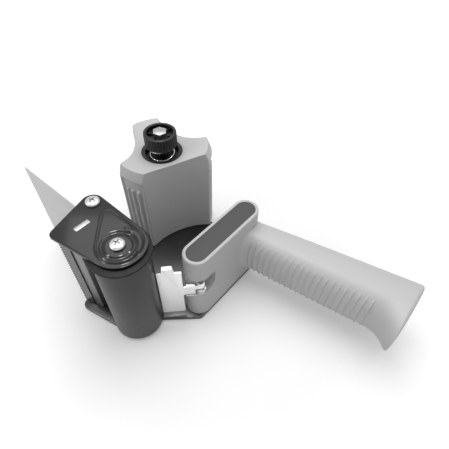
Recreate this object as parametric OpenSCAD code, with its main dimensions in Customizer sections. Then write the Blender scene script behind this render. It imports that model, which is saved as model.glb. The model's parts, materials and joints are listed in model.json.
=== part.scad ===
// Pistol grip dispenser for wide carton sealing tape, lying on its frame plate.
// Origin: hub axis at the underside of the frame plate. +X points to the front,
// where the tape leaves over the roller, +Y points along the grip, +Z is up.

/* [Tape] */
// Width of the widest tape, which sets the height between the two plates
tape_w = 75; // [60:0.5:80]
// Bore of the cardboard core that slides over the hub
core_d = 76.2; // [74:0.1:80]
// Radius kept free for a full roll, from the hub axis to the handle head
roll_r = 70.8; // [66:0.1:80]

/* [Frame plate] */
// Thickness of the frame plate
plate_t = 2.5; // [2:0.1:4]
// Radius of the plate under the hub
plate_hub_r = 24; // [20:0.5:27]
// Radius of the plate's end under the roller
plate_nose_r = 13.5; // [12:0.5:16]
// Radius of the plate's corners at the cutting edge and the post
plate_corner_r = 5; // [3:0.5:6]

/* [Front bracket] */
// Thickness of the front bracket
bracket_t = 1.6; // [1.2:0.1:2.5]
// Height of the pressed form above the bracket's face
press_h = 1.2; // [0.5:0.1:2]
// Room above the tape's width, below the bracket
bracket_gap = 7; // [5:0.5:12]

/* [Roller] */
// Distance of the roller axis in front of the hub axis
roller_x = 85.6; // [84:0.1:95]
// Distance of the roller axis to the grip side of the hub axis
roller_y = 55.4; // [53:0.1:57]
// Outer radius of the rubber sleeve
roller_r = 17; // [15:0.1:17.5]
// Thickness of the rubber sleeve
sleeve_t = 3; // [2:0.1:4]
// Wall of the tube inside the sleeve
roller_tube_t = 2.5; // [2:0.1:3]
// Radius of the flange that guides the tape's edge
roller_flange_r = 18.9; // [17.5:0.1:20]
// Thickness of that flange
roller_flange_t = 1.5; // [1:0.1:2]
// Diameter of the roller's steel axle
axle_d = 8; // [7:0.1:10]

/* [Cutting edge] */
// Thickness of the channel that carries the blade and the wiper
channel_t = 3.3; // [2.5:0.1:4]
// Distance from the roller axis back to the channel's web
channel_back = 26.4; // [25:0.1:28]
// Depth of the channel's legs behind its web
channel_leg = 12; // [10:0.5:14]
// Thickness of the blade
blade_t = 0.8; // [0.5:0.1:1]
// Pitch of the blade's teeth
tooth_pitch = 2.4; // [2:0.1:4]
// Depth of the blade's teeth
tooth_h = 1.8; // [1:0.1:2.5]
// Length of the wiper that hangs behind the cutting edge
wiper_len = 80; // [60:1:95]
// Thickness of the wiper
wiper_t = 0.8; // [0.5:0.1:1.2]

/* [Hub] */
// Height of the hub's lobes over the width of the tape
hub_over = 3.2; // [1:0.1:6]
// Depth of the dished top of the hub
dish_h = 6.2; // [3:0.1:8]
// Distance from the hub axis to the middle of each hollow side
waist_r = 21.1; // [20:0.1:23]
// Radius of the hollow sides
hollow_r = 57; // [50:1:65]
// Wall of the hub
hub_wall = 2.4; // [1.8:0.1:3]
// Length of the tapered lead at the top of the lobes
lead_h = 7.5; // [5:0.5:14]
// Depth of the lead in radius
lead_r = 2.7; // [1.5:0.1:3.5]
// Radius of the seat for the brake cup
cup_r = 15.4; // [14.5:0.1:16]
// Diameter of the fixed spindle
spindle_d = 12; // [11:0.1:13]

/* [Brake] */
// Outer radius of the knob
knob_r = 12.1; // [11.5:0.1:13]
// Height of the knob
knob_h = 10.4; // [10:0.1:13]
// Diameter of the brake bolt
bolt_d = 5; // [4:0.1:6]
// Width of the bolt head across its flats
bolt_flats = 9.4; // [8:0.1:10]
// Mean radius of the brake spring
brake_spring_r = 9.2; // [8.4:0.1:9.3]
// Wire diameter of the brake spring
brake_wire = 1; // [0.8:0.1:1.1]
// Number of turns of the brake spring
brake_turns = 3; // [2.5:0.5:4]

/* [Handle] */
// Height of the handle head above the frame plate
head_h = 62.3; // [56:0.5:66]
// Width of the handle head
head_w = 18.6; // [17.5:0.1:21]
// Distance between the centres of the head's round ends
head_run = 50; // [46:0.5:54]
// Place of the front round end in front of the hub axis
head_front_x = 48.8; // [46:0.2:50]
// Wall of the head and grip
handle_wall = 2.8; // [2:0.1:3.2]
// Width of the rim round the inset panel
rim_w = 2.3; // [1.5:0.1:3]
// Depth of the inset panel's seat
panel_t = 1.4; // [1:0.1:2]
// Length of the grip from the head to its end
grip_len = 112; // [95:1:125]
// Half thickness of the grip, side to side
grip_half_t = 19.5; // [17:0.5:21]
// Half depth of the grip at the head, front to back
grip_half_d = 12.4; // [11:0.1:14]
// Half depth of the grip near its end
grip_end_half_d = 18.4; // [15:0.1:20]
// How far the grip's centre moves back over its length
grip_rake = 21; // [10:0.5:30]
// How far the toe at the end of the grip stands out
toe_out = 13; // [5:0.5:18]
// Number of finger ribs
rib_count = 21; // [10:1:22]
// Pitch of the finger ribs
rib_pitch = 4.25; // [3.5:0.05:4.5]
// Depth of the finger ribs
rib_h = 0.8; // [0.4:0.1:1.2]

/* [Tape stop] */
// Thickness of the tape stop's sheet
stop_t = 1.2; // [0.8:0.1:1.5]
// Height of the tape stop's blade
stop_h = 48; // [40:1:52]
// Width of the tape stop's blade
stop_w = 15.6; // [12:0.2:17]
// Height of the arm that joins the blade to the hinge
stop_arm_h = 9; // [8:0.5:10]
// Smallest gap between the tape stop and the roller
stop_gap = 0.5; // [0.3:0.1:1.5]
// Diameter of the hinge pin
hinge_pin_d = 3; // [2.5:0.1:3.2]
// Whole turns of the torsion spring
stop_turns = 3; // [1:1:3]
// Wire diameter of the torsion spring
stop_wire = 0.7; // [0.5:0.1:0.8]

/* [Hidden] */
$fn = 64;

// Overrun of every cut, and the clearances that all fits use
over = 1;
run_fit = 0.06;
slide_fit = 0.15;
open_fit = 0.3;
loose_fit = 0.6;
core_fit = 0.2;

// Heights of the stack on the frame plate
bracket_z = plate_t + tape_w + bracket_gap;
hub_low = plate_t + loose_fit;
hub_top = plate_t + tape_w + hub_over;
ring_z = hub_top - dish_h;
hub_r = core_d/2 - core_fit;
hollow_x = waist_r + hollow_r;
lobe_turns = [8.8, 128.8, 248.8];

// Front screws, all of one kind, and countersunk screws from below
screw_r = 2.5;
screw_grip = 9;
pan_r = 4.6;
pan_h = 2.8;
cross_w = 1.1;
cross_l = 4.8;
cross_h = 1.3;
flat_r = 4;
flat_h = 1.9;
flat_sink = 0.1;
hole_gap = 0.2;

// Post between the plates, behind the cutting edge
post_back = 12.1;
post_side = 38.4;
post_r = 4.5;
post_x = roller_x - post_back;
post_y = roller_y - post_side;

// Cutting corner of the two plates
edge_ahead = 20.9;
edge_side = 37.9;
edge_x = roller_x + edge_ahead;
edge_y = roller_y - edge_side;

// Channel in plan: web across, nose leg to the front, wiper leg at the back
web_y = roller_y - channel_back;
nose_ahead = 13.7;
blade_tilt = 16;
nose_drop = 6.3;
web_ahead = 11.8;
web_behind = 4.6;
nose_x = roller_x + nose_ahead;
nose_y = web_y - nose_drop;
web_front_x = roller_x + web_ahead;
web_back_x = roller_x - web_behind;
leg_t = channel_t*2/3;
leg_end_y = web_y - channel_leg;
tab_w = 10;
tab_x = (web_front_x + web_back_x)/2;
channel_low = plate_t;
rivet_r = 1.5;
rivet_head_r = 2.6;
rivet_head_h = 0.9;
rivet_count = 3;
tooth_gap = 0.4;

blade_low = plate_t + loose_fit;
blade_top = bracket_z - loose_fit;
blade_back_y = nose_y - slide_fit;
blade_front_y = leg_end_y - tooth_h - 2*tooth_gap;

wiper_low_gap = 1.5;
wiper_top_gap = 3;
wiper_low = plate_t + wiper_low_gap;
wiper_top = bracket_z - wiper_top_gap;
wiper_x = web_back_x - wiper_t;
clamp_t = 1.3;
clamp_len = channel_leg;

// Roller stack along its axle
washer_t = 0.6;
washer_r = 6;
roller_low = plate_t + washer_t + slide_fit;
roller_flange_z = bracket_z - roller_flange_t - washer_t - slide_fit;
tube_r = roller_r - sleeve_t;
bush_r = tube_r - roller_tube_t;
bush_l = 10;

// Brake stack on the spindle
cup_flange_t = 2;
cup_wall = 1.3;
cup_lip = 1.4;
cup_floor_t = 1.8;
cup_h = 7.3;
cup_body_r = cup_r - cup_lip;
cup_low = ring_z - cup_h;
pocket_floor = cup_low - hub_wall;
disc_r = 10.4;
disc_t = 1;
disc_z = cup_low + cup_floor_t;
pressure_r = brake_spring_r + brake_wire;
pressure_t = 1.1;
pressure_z = disc_z + disc_t + slide_fit;
neck_r = 4;
neck_z = pressure_z - slide_fit*2;
neck_h = 2.2;
spring_low = pressure_z + pressure_t;
knob_gap = 0.4;
knob_skirt = 4.1;
knob_web = 2.6;
knob_z = hub_top + knob_gap;
knob_top = knob_z + knob_h;
knob_web_z = knob_z + knob_skirt;
seat_t = 1;
seat_r = brake_spring_r + brake_wire/2 + hole_gap;
spring_top = knob_web_z - seat_t;
bolt_head_h = 4.5;
bolt_len = 34;
bolt_run = 6;
knurl_count = 40;
knurl_h = 0.35;
foot_flange_r = 15;
foot_flange_t = 2.5;

// Handle head, measured from the hub axis
head_r = head_w/2;
head_y = roll_r + head_r;
head_out_y = head_y + head_r;
head_z = plate_t;
head_top = head_z + head_h;
head_back_x = head_front_x - head_run;
boss_r = 4.4;
boss_bore_r = 1.8;
boss_depth = 20;
boss_shares = [0.04, 0.46, 0.86];

// Grip sections
grip_z = head_z + head_h/2;
grip_y = head_out_y;
grip_end = grip_y + grip_len;
grip_x = -0.3;
grip_power = 2.8;
grip_sides = 28;
neck_len = 7;
neck_out = 4.5;
neck_shares = [0, 0.05, 0.18, 0.4, 0.7];
toe_len = 20;
rib_lead = 5;
rib_start = grip_y + rib_lead;
grip_root = head_r;
cavity_sides = 16;
grip_round = 1.6;

// Window in the head for the tape stop's hinge
window_up = 27.5;
window_h = 15.8;
window_in = 7.3;
window_low = head_z + window_up;
window_x = head_front_x - window_in;
window_wall = 5.2;
window_slope = 4.5;

// Tape stop: hinge axis at the head's front end, arm towards the roller
hinge_ahead = 3.7;
hinge_out = 5.9;
hinge_x = head_front_x + hinge_ahead;
hinge_y = head_y + hinge_out;
hinge_pin_r = hinge_pin_d/2;
knuckle_r = hinge_pin_r + run_fit + stop_t;
ear_t = 1.2;
ear_r = 2.7;
stop_rest = -43.5;
stop_drop = 20;
stop_low = window_low - stop_drop;
arm_low = window_low + ear_t + slide_fit;
knuckle_h = 3.4;
roller_span = norm([roller_x - hinge_x, roller_y - hinge_y]);
stop_tip = roller_span - roller_r - stop_gap;
stop_reach = sqrt(stop_tip*stop_tip - knuckle_r*knuckle_r);
lip_out = 1.4;
tab_h = 6.6;
tab_shares = [0.18, 0.72];
tab_lean_share = 0.07;
stop_coil_r = knuckle_r + stop_wire/2 + slide_fit;
stop_coil_low = arm_low + stop_wire/2;
stop_coil_gap = 0.45;
stop_pitch = stop_wire + stop_coil_gap;

// Colours as the photograph shows them
black_paint = [0.2, 0.2, 0.2];
dark_plastic = [0.12, 0.12, 0.12];
rubber = [0.22, 0.22, 0.22];
bright_steel = [0.78, 0.78, 0.78];
grey_plastic = [0.74, 0.74, 0.74];
pale_plastic = [0.85, 0.85, 0.85];
panel_grey = [0.33, 0.33, 0.33];

// Outline with rounded corners: places, radii and steps in each corner
function turned(v, a) = [v[0]*cos(a) - v[1]*sin(a), v[0]*sin(a) + v[1]*cos(a)];
function unit(v) = v/norm(v);
function corner(a, b, c, r, n) =
    let (u = unit(a - b), w = unit(c - b), half = acos(u*w)/2,
        m = b + unit(u + w)*r/sin(half), s = sign(u[0]*w[1] - u[1]*w[0]),
        start = b + u*r/tan(half) - m, sweep = s*(180 - 2*half))
    [for (i = [0:n]) m + turned(start, -sweep*i/n)];
function rounded(p, r, n = 8) =
    let (k = len(p))
    [for (i = [0:k - 1]) each corner(p[(i + k - 1) % k], p[i], p[(i + 1) % k], r[i], n)];

// Tube swept along points: rings of sides corners, closed at both ends
function path_dir(p, i) = unit(p[min(i + 1, len(p) - 1)] - p[max(i - 1, 0)]);
function side_of(d) = unit(cross(d, abs(d[2]) > 0.9 ? [1, 0, 0] : [0, 0, 1]));
function carried(s, d) = unit(s - d*(s*d));
function sides_along(p, i = 0, s = undef, out = []) =
    i == len(p) ? out :
    let (d = path_dir(p, i), now = is_undef(s) ? side_of(d) : carried(s, d))
    sides_along(p, i + 1, now, concat(out, [now]));
function ring_faces(rings, n) =
    [for (i = [0:rings - 2], j = [0:n - 1])
        let (a = i*n + j, b = i*n + (j + 1) % n)
        each [[a, b, a + n], [b, b + n, a + n]]];
function cap_faces(rings, n) = concat(
    [for (j = [1:n - 2]) [0, j + 1, j]],
    [for (j = [1:n - 2]) let (b = (rings - 1)*n) [b, b + j, b + j + 1]]);
module tube(path, r, n) {
    side = sides_along(path);
    pts = [for (i = [0:len(path) - 1], j = [0:n - 1])
        let (d = path_dir(path, i), u = side[i], w = cross(d, u), a = 360*j/n)
        path[i] + (u*cos(a) + w*sin(a))*r];
    polyhedron(pts, concat(ring_faces(len(path), n), cap_faces(len(path), n)));
}
module loft(rings) {
    n = len(rings[0]);
    pts = [for (ring = rings) each ring];
    polyhedron(pts, concat(ring_faces(len(rings), n), cap_faces(len(rings), n)));
}

// Least distance of a coil to itself, between points at least one turn apart
function least_gap(p, skip, wire) =
    min([for (i = [0:2:len(p) - 1], j = [i + skip:1:len(p) - 1]) norm(p[i] - p[j])]) - wire;

module stadium(x0, x1, y, r, z, h) {
    translate([x0, y, z]) cylinder(r = r, h = h);
    translate([x1, y, z]) cylinder(r = r, h = h);
    translate([x0, y - r, z]) cube([x1 - x0, 2*r, h]);
}

// Frame plate
post_margin = 7.1;
post_drop = 10.3;
edge_lead = 0.4;
edge_drop = 2.3;
edge_rise = 0.9;
edge_margin = 6;
edge_lean = 1;
nose_step = 10;
head_margin = 8;
plate_outline = rounded(
    [[post_x - post_margin, post_y - post_drop], [edge_x + edge_lead, edge_y - edge_drop],
        [edge_x - edge_lean, edge_y + edge_margin],
        [roller_x + plate_nose_r, roller_y], [roller_x + plate_nose_r/2, roller_y + plate_nose_r],
        [roller_x - nose_step, roller_y + plate_nose_r], [head_front_x + head_margin, head_out_y],
        [head_back_x - head_r, head_out_y], [head_back_x - head_r, head_y - head_r],
        [-plate_hub_r, plate_hub_r/3], [-plate_hub_r*2/3, -plate_hub_r], [plate_hub_r/2, -plate_hub_r]],
    [post_margin, plate_corner_r, plate_corner_r, plate_nose_r, plate_corner_r, plate_corner_r/2,
        plate_corner_r, head_r*0.9, plate_corner_r, plate_corner_r, plate_hub_r/2, plate_hub_r/2]);

function boss_x(s) = head_back_x + s*head_run;
module below_screws_at() {
    for (p = [[post_x, post_y], [roller_x, roller_y], [0, 0]]) translate([p[0], p[1], 0]) children();
}
module handle_screws_at() {
    for (s = boss_shares) translate([boss_x(s), head_y, 0]) children();
}
module countersink() {
    translate([0, 0, -over]) cylinder(r = screw_r + hole_gap, h = plate_t + 2*over);
    cylinder(r1 = flat_r + hole_gap, r2 = screw_r + hole_gap, h = flat_h);
}
module frame_plate() {
    color(black_paint)
    difference() {
        linear_extrude(height = plate_t) polygon(plate_outline);
        below_screws_at() countersink();
        handle_screws_at() countersink();
        translate([tab_x - tab_w/2 - hole_gap, web_y - channel_t - hole_gap, -over])
            cube([tab_w + 2*hole_gap, channel_t + 2*hole_gap, plate_t + 2*over]);
    }
}

// Front bracket, with a pressed form round the axle
bracket_end_r = roller_r - loose_fit;
bracket_end_x = roller_x - edge_lead*3;
bracket_end_y = roller_y - edge_lead*3;
bracket_lean = 2.4;
bracket_outline = rounded(
    [[post_x - post_margin, post_y - post_drop], [edge_x + edge_lead, edge_y + edge_rise],
        [bracket_end_x + bracket_end_r - bracket_lean, bracket_end_y + bracket_end_r],
        [bracket_end_x - bracket_end_r, bracket_end_y + bracket_end_r]],
    [post_margin, plate_corner_r*0.9, bracket_end_r*0.98, bracket_end_r*0.98], 12);
press_rim = 2.4;
press_end_r = 3.5;
press_back = 12.2;
press_side = 26;
press_r = roller_r - press_rim;
press_end = [roller_x - press_back, roller_y - press_side];
seat_ring_r = 8.4;
module pressed_pad(z, h) {
    translate([0, 0, z]) linear_extrude(height = h)
        hull() {
            translate([bracket_end_x, bracket_end_y]) circle(r = press_r, $fn = 48);
            translate(press_end) circle(r = press_end_r, $fn = 24);
        }
}
module front_bracket() {
    color(black_paint)
    difference() {
        union() {
            translate([0, 0, bracket_z]) linear_extrude(height = bracket_t) polygon(bracket_outline);
            pressed_pad(bracket_z + bracket_t, press_h);
        }
        translate([roller_x, roller_y, bracket_z + bracket_t])
            difference() {
                cylinder(r = seat_ring_r, h = press_h + over);
                cylinder(r = pan_r + hole_gap*4, h = press_h);
            }
        for (p = [[post_x, post_y], [roller_x, roller_y]]) translate([p[0], p[1], bracket_z - over])
            cylinder(r = screw_r + hole_gap, h = bracket_t + press_h + 2*over);
        translate([tab_x - tab_w/2 - hole_gap, web_y - channel_t - hole_gap, bracket_z - over])
            cube([tab_w + 2*hole_gap, channel_t + 2*hole_gap, bracket_t + 2*over]);
    }
}

module threaded_bar(r) {
    difference() {
        translate([0, 0, plate_t]) cylinder(r = r, h = bracket_z - plate_t);
        translate([0, 0, bracket_z - screw_grip - over]) cylinder(r = screw_r, h = screw_grip + 2*over);
        cylinder(r = screw_r, h = plate_t + screw_grip);
    }
}
module spacer_post() {
    color(bright_steel) translate([post_x, post_y, 0]) threaded_bar(post_r);
}
module roller_axle() {
    color(bright_steel) translate([roller_x, roller_y, 0]) threaded_bar(axle_d/2);
}

// Channel in plan, extruded between the plates, with a tab at each end
channel_plan = [[web_back_x, web_y], [web_back_x, leg_end_y], [web_back_x + leg_t, leg_end_y],
    [web_back_x + leg_t, web_y - channel_t], [web_front_x - leg_t/2, web_y - channel_t],
    [nose_x - leg_t, nose_y - leg_t/2], [nose_x, nose_y], [web_front_x, web_y]];
leg_plan = [[nose_x - leg_t, nose_y], [nose_x - leg_t, leg_end_y], [nose_x, leg_end_y], [nose_x, nose_y]];
// The front leg and all on it turn about the channel's nose
module at_nose() {
    translate([nose_x, nose_y, 0]) rotate([0, 0, blade_tilt]) translate([-nose_x, -nose_y, 0]) children();
}
module rivets_at() {
    for (i = [0:rivet_count - 1])
        translate([0, 0, plate_t + (bracket_z - plate_t)*(2*i + 1)/(2*rivet_count)]) children();
}
rivet_y = leg_end_y + leg_t;
module front_channel() {
    color(grey_plastic)
    difference() {
        union() {
            translate([0, 0, channel_low]) linear_extrude(height = bracket_z - channel_low)
                polygon(channel_plan);
            at_nose() translate([0, 0, channel_low]) linear_extrude(height = bracket_z - channel_low)
                polygon(leg_plan);
            translate([tab_x - tab_w/2, web_y - channel_t, flat_sink])
                cube([tab_w, channel_t, bracket_z + bracket_t + flat_sink]);
        }
        at_nose() rivets_at() translate([nose_x - leg_t - over, rivet_y, 0]) rotate([0, 90, 0])
            cylinder(r = rivet_r, h = leg_t + 2*over);
        rivets_at() translate([web_back_x - over, rivet_y, 0]) rotate([0, 90, 0])
            cylinder(r = rivet_r, h = leg_t + 2*over);
    }
}

tooth_count = floor((blade_top - blade_low)/tooth_pitch);
tooth_first = (blade_low + blade_top - tooth_count*tooth_pitch)/2;
tooth_tip = blade_front_y;
tooth_root = blade_front_y + tooth_h;
blade_outline = concat([[blade_back_y, blade_low], [blade_back_y, blade_top], [tooth_root, blade_top]],
    [for (i = [tooth_count - 1:-1:0], s = [1, 0.5]) [s == 1 ? tooth_root : tooth_tip,
        tooth_first + (i + s)*tooth_pitch]],
    [[tooth_root, tooth_first], [tooth_root, blade_low]]);
module blade() {
    color(bright_steel)
    at_nose() difference() {
        translate([nose_x, 0, 0]) rotate([90, 0, 90]) linear_extrude(height = blade_t) polygon(blade_outline);
        rivets_at() translate([nose_x - over, rivet_y, 0]) rotate([0, 90, 0])
            cylinder(r = rivet_r, h = blade_t + 2*over);
    }
}
module rivet(len_mm) {
    cylinder(r = rivet_r, h = len_mm);
    translate([0, 0, -rivet_head_h]) cylinder(r = rivet_head_r, h = rivet_head_h);
}
module blade_rivets() {
    color(bright_steel) at_nose() rivets_at() translate([nose_x - leg_t, rivet_y, 0]) rotate([0, 90, 0])
        rivet(leg_t + blade_t);
}

module wiper() {
    color(pale_plastic)
    difference() {
        translate([wiper_x, web_y - wiper_len, wiper_low])
            cube([wiper_t, wiper_len, wiper_top - wiper_low]);
        rivets_at() translate([wiper_x - over, rivet_y, 0]) rotate([0, 90, 0])
            cylinder(r = rivet_r, h = wiper_t + 2*over);
    }
}
module wiper_clamp() {
    color(black_paint)
    difference() {
        translate([wiper_x - clamp_t, web_y - clamp_len, wiper_low])
            cube([clamp_t, clamp_len, wiper_top - wiper_low]);
        rivets_at() translate([wiper_x - clamp_t - over, rivet_y, 0]) rotate([0, 90, 0])
            cylinder(r = rivet_r, h = clamp_t + 2*over);
    }
}
module wiper_rivets() {
    color(bright_steel) rivets_at() translate([web_back_x + leg_t, rivet_y, 0]) rotate([0, -90, 0])
        rivet(leg_t + wiper_t + clamp_t);
}

module axle_washers() {
    color(bright_steel)
    for (z = [plate_t, bracket_z - washer_t]) translate([roller_x, roller_y, z])
        difference() {
            cylinder(r = washer_r, h = washer_t);
            translate([0, 0, -over]) cylinder(r = axle_d/2 + run_fit, h = washer_t + 2*over);
        }
}

module pan_screw(seat) {
    difference() {
        union() {
            translate([0, 0, bracket_z - screw_grip]) cylinder(r = screw_r, h = screw_grip + seat - bracket_z);
            intersection() {
                translate([0, 0, seat]) cylinder(r = pan_r, h = pan_h);
                translate([0, 0, seat + pan_h - pan_r*1.6]) sphere(r = pan_r*1.6);
            }
        }
        for (a = [45, 135]) translate([0, 0, seat + pan_h - cross_h]) rotate([0, 0, a])
            translate([-cross_l/2, -cross_w/2, 0]) cube([cross_l, cross_w, cross_h + over]);
    }
}
module bracket_screws() {
    color(bright_steel) {
        translate([post_x, post_y, 0]) pan_screw(bracket_z + bracket_t);
        translate([roller_x, roller_y, 0]) pan_screw(bracket_z + bracket_t + press_h);
    }
}
module flat_screw(r, length) {
    difference() {
        union() {
            translate([0, 0, flat_sink]) cylinder(r1 = flat_r, r2 = r, h = flat_h - flat_sink);
            translate([0, 0, flat_sink]) cylinder(r = r, h = length);
        }
        for (a = [45, 135]) rotate([0, 0, a])
            translate([-cross_l/2, -cross_w/2, -over]) cube([cross_l, cross_w, cross_h + over]);
    }
}
module frame_screws() {
    color(bright_steel) below_screws_at() flat_screw(screw_r, plate_t + screw_grip - over);
}
module handle_screws() {
    color(bright_steel) handle_screws_at() flat_screw(boss_bore_r, plate_t + boss_depth/2);
}

// Roller
module on_roller() {
    translate([roller_x, roller_y, 0]) children();
}
module ring(r_out, r_in, z, h) {
    translate([0, 0, z]) difference() {
        cylinder(r = r_out, h = h);
        translate([0, 0, -over]) cylinder(r = r_in, h = h + 2*over);
    }
}
module roller_sleeve() {
    color(rubber) on_roller() ring(roller_r, tube_r, roller_low, roller_flange_z - roller_low);
}
module roller_tube() {
    color(dark_plastic) on_roller() ring(tube_r, bush_r, roller_low, roller_flange_z - roller_low);
}
module roller_lower_bush() {
    color(dark_plastic) on_roller() ring(bush_r, axle_d/2 + run_fit, roller_low, bush_l);
}
module roller_upper_bush() {
    color(dark_plastic) on_roller() difference() {
        union() {
            translate([0, 0, roller_flange_z - bush_l]) cylinder(r = bush_r, h = bush_l + roller_flange_t);
            translate([0, 0, roller_flange_z]) cylinder(r = roller_flange_r, h = roller_flange_t);
        }
        translate([0, 0, roller_flange_z - bush_l - over])
            cylinder(r = axle_d/2 + run_fit, h = bush_l + roller_flange_t + 2*over);
    }
}

// Spindle, fixed to the frame plate, with the bolt's thread bore at its top
module hub_spindle() {
    color(bright_steel)
    difference() {
        union() {
            translate([0, 0, plate_t]) cylinder(r = foot_flange_r, h = foot_flange_t);
            translate([0, 0, plate_t]) cylinder(r = spindle_d/2, h = neck_z - plate_t);
            translate([0, 0, neck_z - over]) cylinder(r = neck_r, h = neck_h + over);
        }
        translate([0, 0, spring_top - bolt_len - bolt_run])
            cylinder(r = bolt_d/2 + run_fit, h = bolt_len + bolt_run);
        cylinder(r = screw_r, h = plate_t + screw_grip);
    }
}

// Three-lobed solid: r of the lobes, hollows moved in by inset
module lobed(r, inset, z, h) {
    difference() {
        translate([0, 0, z]) cylinder(r = r, h = h);
        for (a = lobe_turns) rotate([0, 0, a + 60])
            translate([hollow_x, 0, z - over]) cylinder(r = hollow_r + inset, h = h + 2*over);
    }
}
module hub_lead(r, top) {
    rotate_extrude() polygon([[0, 0], [r, 0], [r, top - lead_h], [r - lead_r, top], [0, top]]);
}
groove_r = 1.5;
groove_h = 1.3;
groove_drop = 5.5;
groove_turns = [-10, 0, 10];
foot_h = 2;
foot_out = 0.6;
tube_wall = 2.4;
hub_inner_low = plate_t + foot_flange_t + slide_fit;
hub_web = 2;
module hub() {
    color(grey_plastic)
    difference() {
        union() {
            intersection() {
                lobed(hub_r, 0, hub_low, hub_top - hub_low);
                hub_lead(hub_r, hub_top);
            }
            lobed(hub_r + foot_out, 0, hub_low, foot_h);
        }
        // Dished top
        translate([0, 0, ring_z]) cylinder(r1 = cup_r, r2 = hub_r, h = dish_h*(hub_r - cup_r)/(hub_r - lead_r - cup_r));
        translate([0, 0, ring_z - over/2]) cylinder(r = cup_r + open_fit/2, h = dish_h);
        // Seat of the brake cup
        translate([0, 0, cup_low]) cylinder(r = cup_body_r + open_fit/2, h = dish_h + ring_z - cup_low);
        translate([0, 0, ring_z - cup_flange_t]) cylinder(r = cup_r + open_fit/2, h = cup_flange_t + over);
        // Hollow inside, open below, with the bearing tube left standing
        difference() {
            lobed(hub_r - hub_wall - groove_h, hub_wall, hub_low - over, pocket_floor - hub_low + over);
            cylinder(r = spindle_d/2 + run_fit + tube_wall, h = hub_top);
            for (a = lobe_turns) rotate([0, 0, a]) translate([0, -hub_web/2, hub_low]) cube([hub_r, hub_web, hub_top]);
        }
        translate([0, 0, hub_low - over]) cylinder(r = foot_flange_r + loose_fit, h = hub_inner_low - hub_low + over);
        cylinder(r = spindle_d/2 + run_fit, h = hub_top);
        // Grooves down the lobes
        for (a = lobe_turns, g = groove_turns) rotate([0, 0, a + g])
            translate([hub_r + groove_r - groove_h, 0, hub_low + foot_h])
                cylinder(r = groove_r, h = hub_top - lead_h - groove_drop - hub_low - foot_h, $fn = 20);
    }
}

module brake_cup() {
    color(dark_plastic)
    difference() {
        union() {
            translate([0, 0, cup_low]) cylinder(r = cup_body_r, h = ring_z - cup_low);
            translate([0, 0, ring_z - cup_flange_t]) cylinder(r = cup_r, h = cup_flange_t);
        }
        translate([0, 0, disc_z]) cylinder(r = cup_body_r - cup_wall, h = dish_h);
        translate([0, 0, cup_low - over]) cylinder(r = spindle_d/2 + open_fit, h = dish_h);
    }
}
module friction_disc() {
    color(dark_plastic) ring(disc_r, spindle_d/2 + open_fit, disc_z, disc_t);
}
module pressure_washer() {
    color(bright_steel) ring(pressure_r, neck_r + run_fit, pressure_z, pressure_t);
}

// Brake spring between the pressure washer and the seat under the knob, its end turns flat
brake_rise = spring_top - spring_low - brake_wire - 2*slide_fit;
brake_cuts = 24;
brake_steps = brake_cuts*brake_turns;
brake_flat_share = 0.25;
brake_start = 150;
function brake_share(t) = min(1, max(0, (t - brake_flat_share)/(1 - 2*brake_flat_share)));
brake_path = [for (i = [0:brake_steps]) let (a = brake_start + 360*i/brake_cuts)
    [brake_spring_r*cos(a), brake_spring_r*sin(a),
        spring_low + slide_fit + brake_wire/2 + brake_rise*brake_share(i/brake_steps)]];
module brake_spring() {
    color(bright_steel) tube(brake_path, brake_wire/2, 6);
}
module spring_seat() {
    color(bright_steel) ring(seat_r, bolt_d/2 + run_fit, spring_top, seat_t);
}
head_r_corner = bolt_flats/2/cos(30);
module brake_bolt() {
    color(bright_steel) {
        translate([0, 0, knob_web_z + knob_web]) rotate([0, 0, 30 + stop_rest])
            cylinder(r = head_r_corner, h = bolt_head_h, $fn = 6);
        translate([0, 0, spring_top - bolt_len + bolt_run])
            cylinder(r = bolt_d/2, h = knob_web_z + knob_web + over - spring_top + bolt_len - bolt_run);
    }
}
spoke_count = 6;
spoke_w = 1.2;
spoke_h = 1.6;
knob_rim = 2.4;
knob_bore_r = knob_r - knob_rim;
module brake_knob() {
    color(dark_plastic)
    difference() {
        union() {
            difference() {
                translate([0, 0, knob_z]) cylinder(r = knob_r, h = knob_h);
                translate([0, 0, knob_z - over]) cylinder(r = seat_r + open_fit, h = knob_web_z - knob_z + over);
                translate([0, 0, knob_web_z + knob_web]) cylinder(r = knob_bore_r, h = knob_h);
            }
            for (i = [0:spoke_count - 1]) rotate([0, 0, 360*i/spoke_count])
                translate([head_r_corner + open_fit, -spoke_w/2, knob_web_z + knob_web - over/2])
                    cube([knob_bore_r - head_r_corner, spoke_w, spoke_h + over/2]);
        }
        cylinder(r = bolt_d/2 + run_fit, h = knob_top);
        for (i = [0:knurl_count - 1]) rotate([0, 0, 360*i/knurl_count])
            translate([knob_r - knurl_h, -knurl_h, knob_z - over]) cube([knurl_h + over, 2*knurl_h, knob_h + over/2]);
    }
}

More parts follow.
